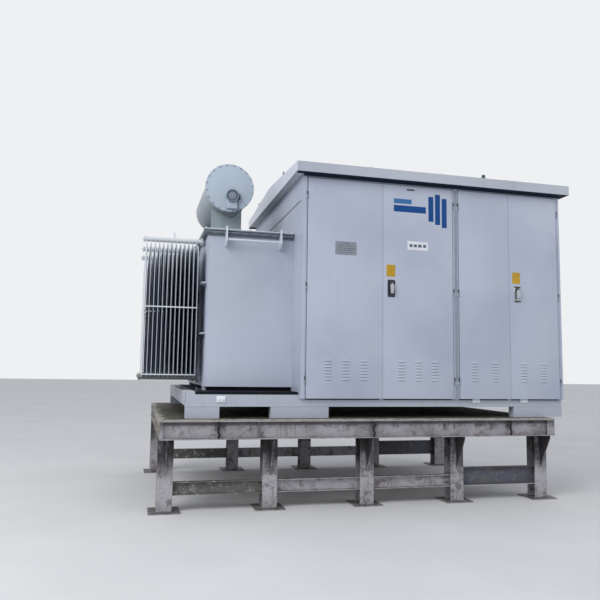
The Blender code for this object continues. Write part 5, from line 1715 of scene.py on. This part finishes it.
@dataclass
class RadiatorBank:
    """One bank of pressed cooling panels between two header pipes."""

    number: int
    panels: int = 13
    pitch: float = 0.045
    half_width: float = 0.250
    neck: float = 0.030
    rim: float = 0.0024
    swell: float = 0.0080
    channels: int = 7
    shoulder_top: float = 0.050
    shoulder_bottom: float = 0.022
    header: float = 0.027
    cap: float = 0.035
    upper_lift: float = 0.008
    flange: float = 0.050
    top_drop: float = 0.106
    bottom_rise: float = 0.030
    header_end: float = 0.035
    header_drop: float = 0.066
    header_rise: float = 0.085
    tank_feet: float = 0.042
    shade_fade: float = 0.42
    shade_least: float = 0.12
    tie_rise: float = 0.710
    tie: float = 0.0065

    def build(self) -> None:
        """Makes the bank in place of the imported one."""
        low, high = corners(f"radiator_bank_{self.number}")
        tank_low, tank_high = corners("tank_body")
        self.y = (low[1] + high[1]) / 2
        self.left, self.right = low[0], high[0]
        self.upper = tank_high[2] - self.header_drop
        self.lower = tank_low[2] + self.tank_feet + self.header_rise
        panels = self.panel().repeated(
            [(self.left + self.header_end + self.pitch * i, self.y, 0) for i in range(self.panels)]
        )
        made = add_piece(f"radiator_{self.number}_panels", panels, COOLER, "root", 60)
        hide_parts(f"radiator_bank_{self.number}")
        self.add_gap_shade(made, panels.points)
        self.add_headers()
        self.add_ties()

    def add_gap_shade(self, made: bpy.types.Object, points: Array) -> None:
        """Gives each point its share of painted shade between the panels, which the paint reads.

        The share is 1 between the middle planes of the first and last panels and 0 outside
        them, times an ease from 0.12 at the panels' tops to 1 further down.

        Args:
            made: the panels' object.
            points: its vertices, in order.
        """
        x, z = points[:, 0], points[:, 2]
        first = self.left + self.header_end
        last = first + self.pitch * (self.panels - 1)
        between = (x > first) & (x < last)
        depth = ease((self.upper - self.top_drop + self.shoulder_top - z) / self.shade_fade)
        soot = made.data.attributes.new("soot", "FLOAT", "POINT")
        share = between * (self.shade_least + (1 - self.shade_least) * depth)
        soot.data.foreach_set("value", share.astype(np.float32))

    def panel(self) -> Shape:
        """A pressed panel in its own YZ plane.

        Its half width follows the height: the neck at the headers, a quarter of an ellipse
        over the upper shoulder and an ease over the lower one. Its half thickness is the rim
        plus the swell, times an ease up from the edge, an ease in from both shoulders and, in
        each channel, an ease away from every groove.
        """
        bottom, top = self.lower + self.bottom_rise, self.upper - self.top_drop
        z = np.concatenate([
            [self.lower], np.linspace(bottom - self.shoulder_bottom, bottom + 0.012, 7),
            np.linspace(bottom + 0.04, top - 0.03, 6), [top - 0.012],
            top + self.shoulder_top * np.sin(np.linspace(0, math.pi / 2, 9)),
            [self.upper],
        ])
        under = ease((z - bottom + self.shoulder_bottom) / (self.shoulder_bottom + 0.006))
        over = np.sqrt(1 - np.clip((z - top) / self.shoulder_top, 0, 1) ** 2)
        half = self.neck + (self.half_width - self.neck) * np.minimum(under, over)
        u = np.linspace(-1, 1, self.channels * 4 + 1)
        from_groove = 1 - np.abs((u + 1) * self.channels / 2 % 1 - 0.5) * 2
        channel = 0.18 + 0.82 * ease(from_groove * 2.2)
        edge = ease((1 - np.abs(u)) * 9)
        fade = ease((z - bottom + 0.010) / 0.05) * ease((top + 0.030 - z) / 0.06)
        thick = self.rim + self.swell * 0.7 * edge[None] * (0.35 + 0.65 * channel[None] * fade[:, None])
        y = half[:, None] * u[None]
        level = np.broadcast_to(z[:, None], y.shape)
        near = np.stack([thick, y, level], -1)
        far = np.stack([-thick, y, level], -1)[:, ::-1]
        return ring_surface(np.concatenate([near, far], 1))

    def add_headers(self) -> None:
        """Two pipes, each with an end cap, a hexagon plug, a flange and its bolts, and a vent."""
        bolts = []
        length = self.right - self.left
        h, c, f = self.header, self.cap, self.flange
        upper = self.upper + self.upper_lift
        # the upper header takes the lighter copy, partly painted light, and the lower one the copy with
        # painted shade
        for place, z, finish in (("upper", upper, COOLER_PIPE), ("lower", self.lower, COOLER_FOOT_SHADE)):
            profile = [
                (c - 0.003, 0), (c, 0.003), (c, 0.010), (h + 0.002, 0.013), (h, 0.018),
                (h, length - 0.020), (h + 0.004, length - 0.015), (f, length - 0.014), (f, length),
            ]
            pipe = lathe(profile, 32).turned(Facing.RIGHT).moved(self.left, self.y, z)
            plug = lathe([(0.016, 0), (0.016, 0.004), (0.0125, 0.005), (0.0125, 0.013), (0.011, 0.015)], 6)
            pipe = pipe + plug.turned(Facing.LEFT).moved(self.left + 0.002, self.y, z)
            add_piece(f"radiator_{self.number}_{place}_header", pipe, finish)
            ring = bolt(0.010, 0.001).repeated(ring_of(f - 0.007, 8, math.pi / 8))
            bolts.append(ring.turned(Facing.LEFT).moved(self.right - 0.014, self.y, z))
            bolts.append(ring.turned(Facing.RIGHT).moved(self.right + 0.0143, self.y, z))
        vent = lathe([(0.012, -0.004), (0.012, 0.010), (0.009, 0.012), (0.009, 0.060), (0.006, 0.066)], 16)
        middle = self.left + self.header_end + self.pitch * self.panels / 2
        add_piece(f"radiator_{self.number}_vent", vent.moved(middle, self.y, upper + h), COOLER_PIPE)
        add_piece(f"radiator_{self.number}_flange_bolts", joined(bolts), ZINC)

    def add_ties(self) -> None:
        """Flat bars that hold the panels' edges apart, with a bead at each panel."""
        low = self.left + self.header_end - 0.006
        high = low + self.pitch * (self.panels - 1) + 0.012
        foot = self.lower + self.bottom_rise
        shapes = []
        for side in (-1, 1):
            y = self.y + side * (self.half_width + 0.001)
            z = foot + self.tie_rise
            shapes.append(block((low, y - 0.004, z - self.tie), (high, y + 0.004, z + self.tie), 0.0015, 2))
            bead = tube(run((0, 0, -0.009), (0, 0, 0.009), 5), 0.0035, 8, (0, 1, 0))
            xs = self.left + self.header_end + self.pitch * np.arange(self.panels)
            shapes.append(bead.repeated(offsets_of(xs, y + side * 0.003, z)))
            # a pale strip along the panels' feet: painted highlight of their lower edges
            shapes.append(block((low, y - 0.003, foot - 0.004), (high, y + 0.003, foot + 0.007), 0.0015, 2))
        add_piece(f"radiator_{self.number}_ties", joined(shapes), COOLER_PIPE)


@dataclass
class Studio:
    """A pale floor, soft light and the camera."""

    place: tuple = (-2.4284, -7.8062, 1.3972)
    yaw: float = 14.263
    pitch: float = 6.034
    roll: float = 0.856
    focal: float = 646.53
    frame: float = 600.0
    sensor: float = 36.0
    floor_half: float = 60.0
    floor_tones: tuple = ((0.62, 0.62, 0.63), (0.66, 0.66, 0.67))
    sky: tuple = (0.92, 0.95, 1.0, 1.0)
    sky_strength: float = 0.72
    backdrop: tuple = (0.86, 0.87, 0.89, 1.0)
    aim: tuple = (0, 0, 1.6)
    lamps: tuple = (
        ("key", (-9.0, -7.5, 9.0), 7.0, 900.0),
        ("fill", (7.5, -7.0, 6.0), 6.0, 115.0),
    )

    def build(self) -> None:
        """Sets up the whole studio."""
        bpy.context.scene.view_settings.view_transform = "Standard"
        self.add_camera()
        self.add_floor()
        self.add_sky()
        self.add_lamps()

    def add_camera(self) -> None:
        """The camera's axes from yaw right of +Y, pitch up and roll, as one matrix."""
        yaw, pitch, roll = (math.radians(a) for a in (self.yaw, self.pitch, self.roll))
        ahead = np.array([math.sin(yaw) * math.cos(pitch), math.cos(yaw) * math.cos(pitch), math.sin(pitch)])
        right = np.array([math.cos(yaw), -math.sin(yaw), 0.0])
        up = np.cross(right, ahead)
        across = right * math.cos(roll) + up * math.sin(roll)
        over = up * math.cos(roll) - right * math.sin(roll)
        turn = Matrix(np.column_stack([across, over, -ahead]).tolist())
        data = bpy.data.cameras.new("camera")
        data.sensor_width = self.sensor
        data.lens = self.focal / self.frame * self.sensor
        data.clip_end = 200
        camera = bpy.data.objects.new("camera", data)
        camera.matrix_world = Matrix.Translation(self.place) @ turn.to_4x4()
        bpy.context.scene.collection.objects.link(camera)
        bpy.context.scene.camera = camera

    def add_floor(self) -> None:
        """A wide pale floor at the ground."""
        half = self.floor_half
        mesh = bpy.data.meshes.new("floor")
        ring = [(-half, -half, 0), (half, -half, 0), (half, half, 0), (-half, half, 0)]
        mesh.from_pydata(ring, [], [(0, 1, 2, 3)])
        g = Graph("studio_floor")
        g.set("Base Color", g.mix(g.band(g.noise(0.8, 4), 0.3, 0.7), *self.floor_tones))
        g.set("Roughness", 0.85)
        mesh.materials.append(g.material)
        floor = bpy.data.objects.new("floor", mesh)
        bpy.context.scene.collection.objects.link(floor)

    def add_sky(self) -> None:
        """An even pale sky, which the camera sees as a plain backdrop."""
        world = bpy.data.worlds.new("studio_sky")
        bpy.context.scene.world = world
        world.use_nodes = True
        tree = world.node_tree
        sky = tree.nodes["Background"]
        sky.inputs["Color"].default_value = self.sky
        sky.inputs["Strength"].default_value = self.sky_strength
        backdrop = tree.nodes.new("ShaderNodeBackground")
        backdrop.inputs["Color"].default_value = self.backdrop
        path = tree.nodes.new("ShaderNodeLightPath")
        seen = path.outputs["Is Camera Ray"]
        for ray in ("Is Transmission Ray", "Is Glossy Ray"):
            either = tree.nodes.new("ShaderNodeMath")
            either.operation = "MAXIMUM"
            tree.links.new(seen, either.inputs[0])
            tree.links.new(path.outputs[ray], either.inputs[1])
            seen = either.outputs[0]
        mixed = tree.nodes.new("ShaderNodeMixShader")
        for number, source in enumerate((seen, sky.outputs[0], backdrop.outputs[0])):
            tree.links.new(source, mixed.inputs[number])
        tree.links.new(mixed.outputs[0], tree.nodes["World Output"].inputs[0])

    def add_lamps(self) -> None:
        """A broad soft lamp high at the front left, and a weaker one at the right."""
        for name, place, size, power in self.lamps:
            data = bpy.data.lights.new(name, "AREA")
            data.shape, data.size, data.energy = "SQUARE", size, power
            lamp = bpy.data.objects.new(name, data)
            lamp.location = place
            away = Vector(place) - Vector(self.aim)
            lamp.rotation_mode = "QUATERNION"
            lamp.rotation_quaternion = away.to_track_quat("Z", "Y")
            bpy.context.scene.collection.objects.link(lamp)


LOUVRES = {1: (3, 0.197, 0.012), 2: (3, 0.195, -0.007), 3: (2, 0.250, -0.004), 4: (2, 0.248, -0.022)}


def main() -> None:
    """Builds every sub-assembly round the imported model, in order."""
    logging.basicConfig(level=logging.INFO, format="%(message)s")
    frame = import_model()
    nodes = frame["nodes"]
    joints = {joint["name"]: joint for joint in frame["joints"]}
    Studio().build()
    Stand(nodes).build()
    BaseFrame(nodes).build()
    Enclosure(nodes, joints).build()
    doors = [Door(n, joints[f"door_{n}_hinge"], *LOUVRES[n]) for n in LOUVRES]
    for door in doors:
        door.build()
    Signs(doors).build()
    for door in (doors[1], doors[3]):
        turn, lift = joints[f"{door.name}_handle_turn"], joints[f"{door.name}_handle_lift"]
        SwingHandle(door, turn, lift, BLACK if door is doors[1] else LEVER_METAL).build()
    Tank(nodes).build()
    Conservator(nodes).build()
    for number in (1, 2, 3):
        RadiatorBank(number).build()


if __name__ == "__main__":
    main()
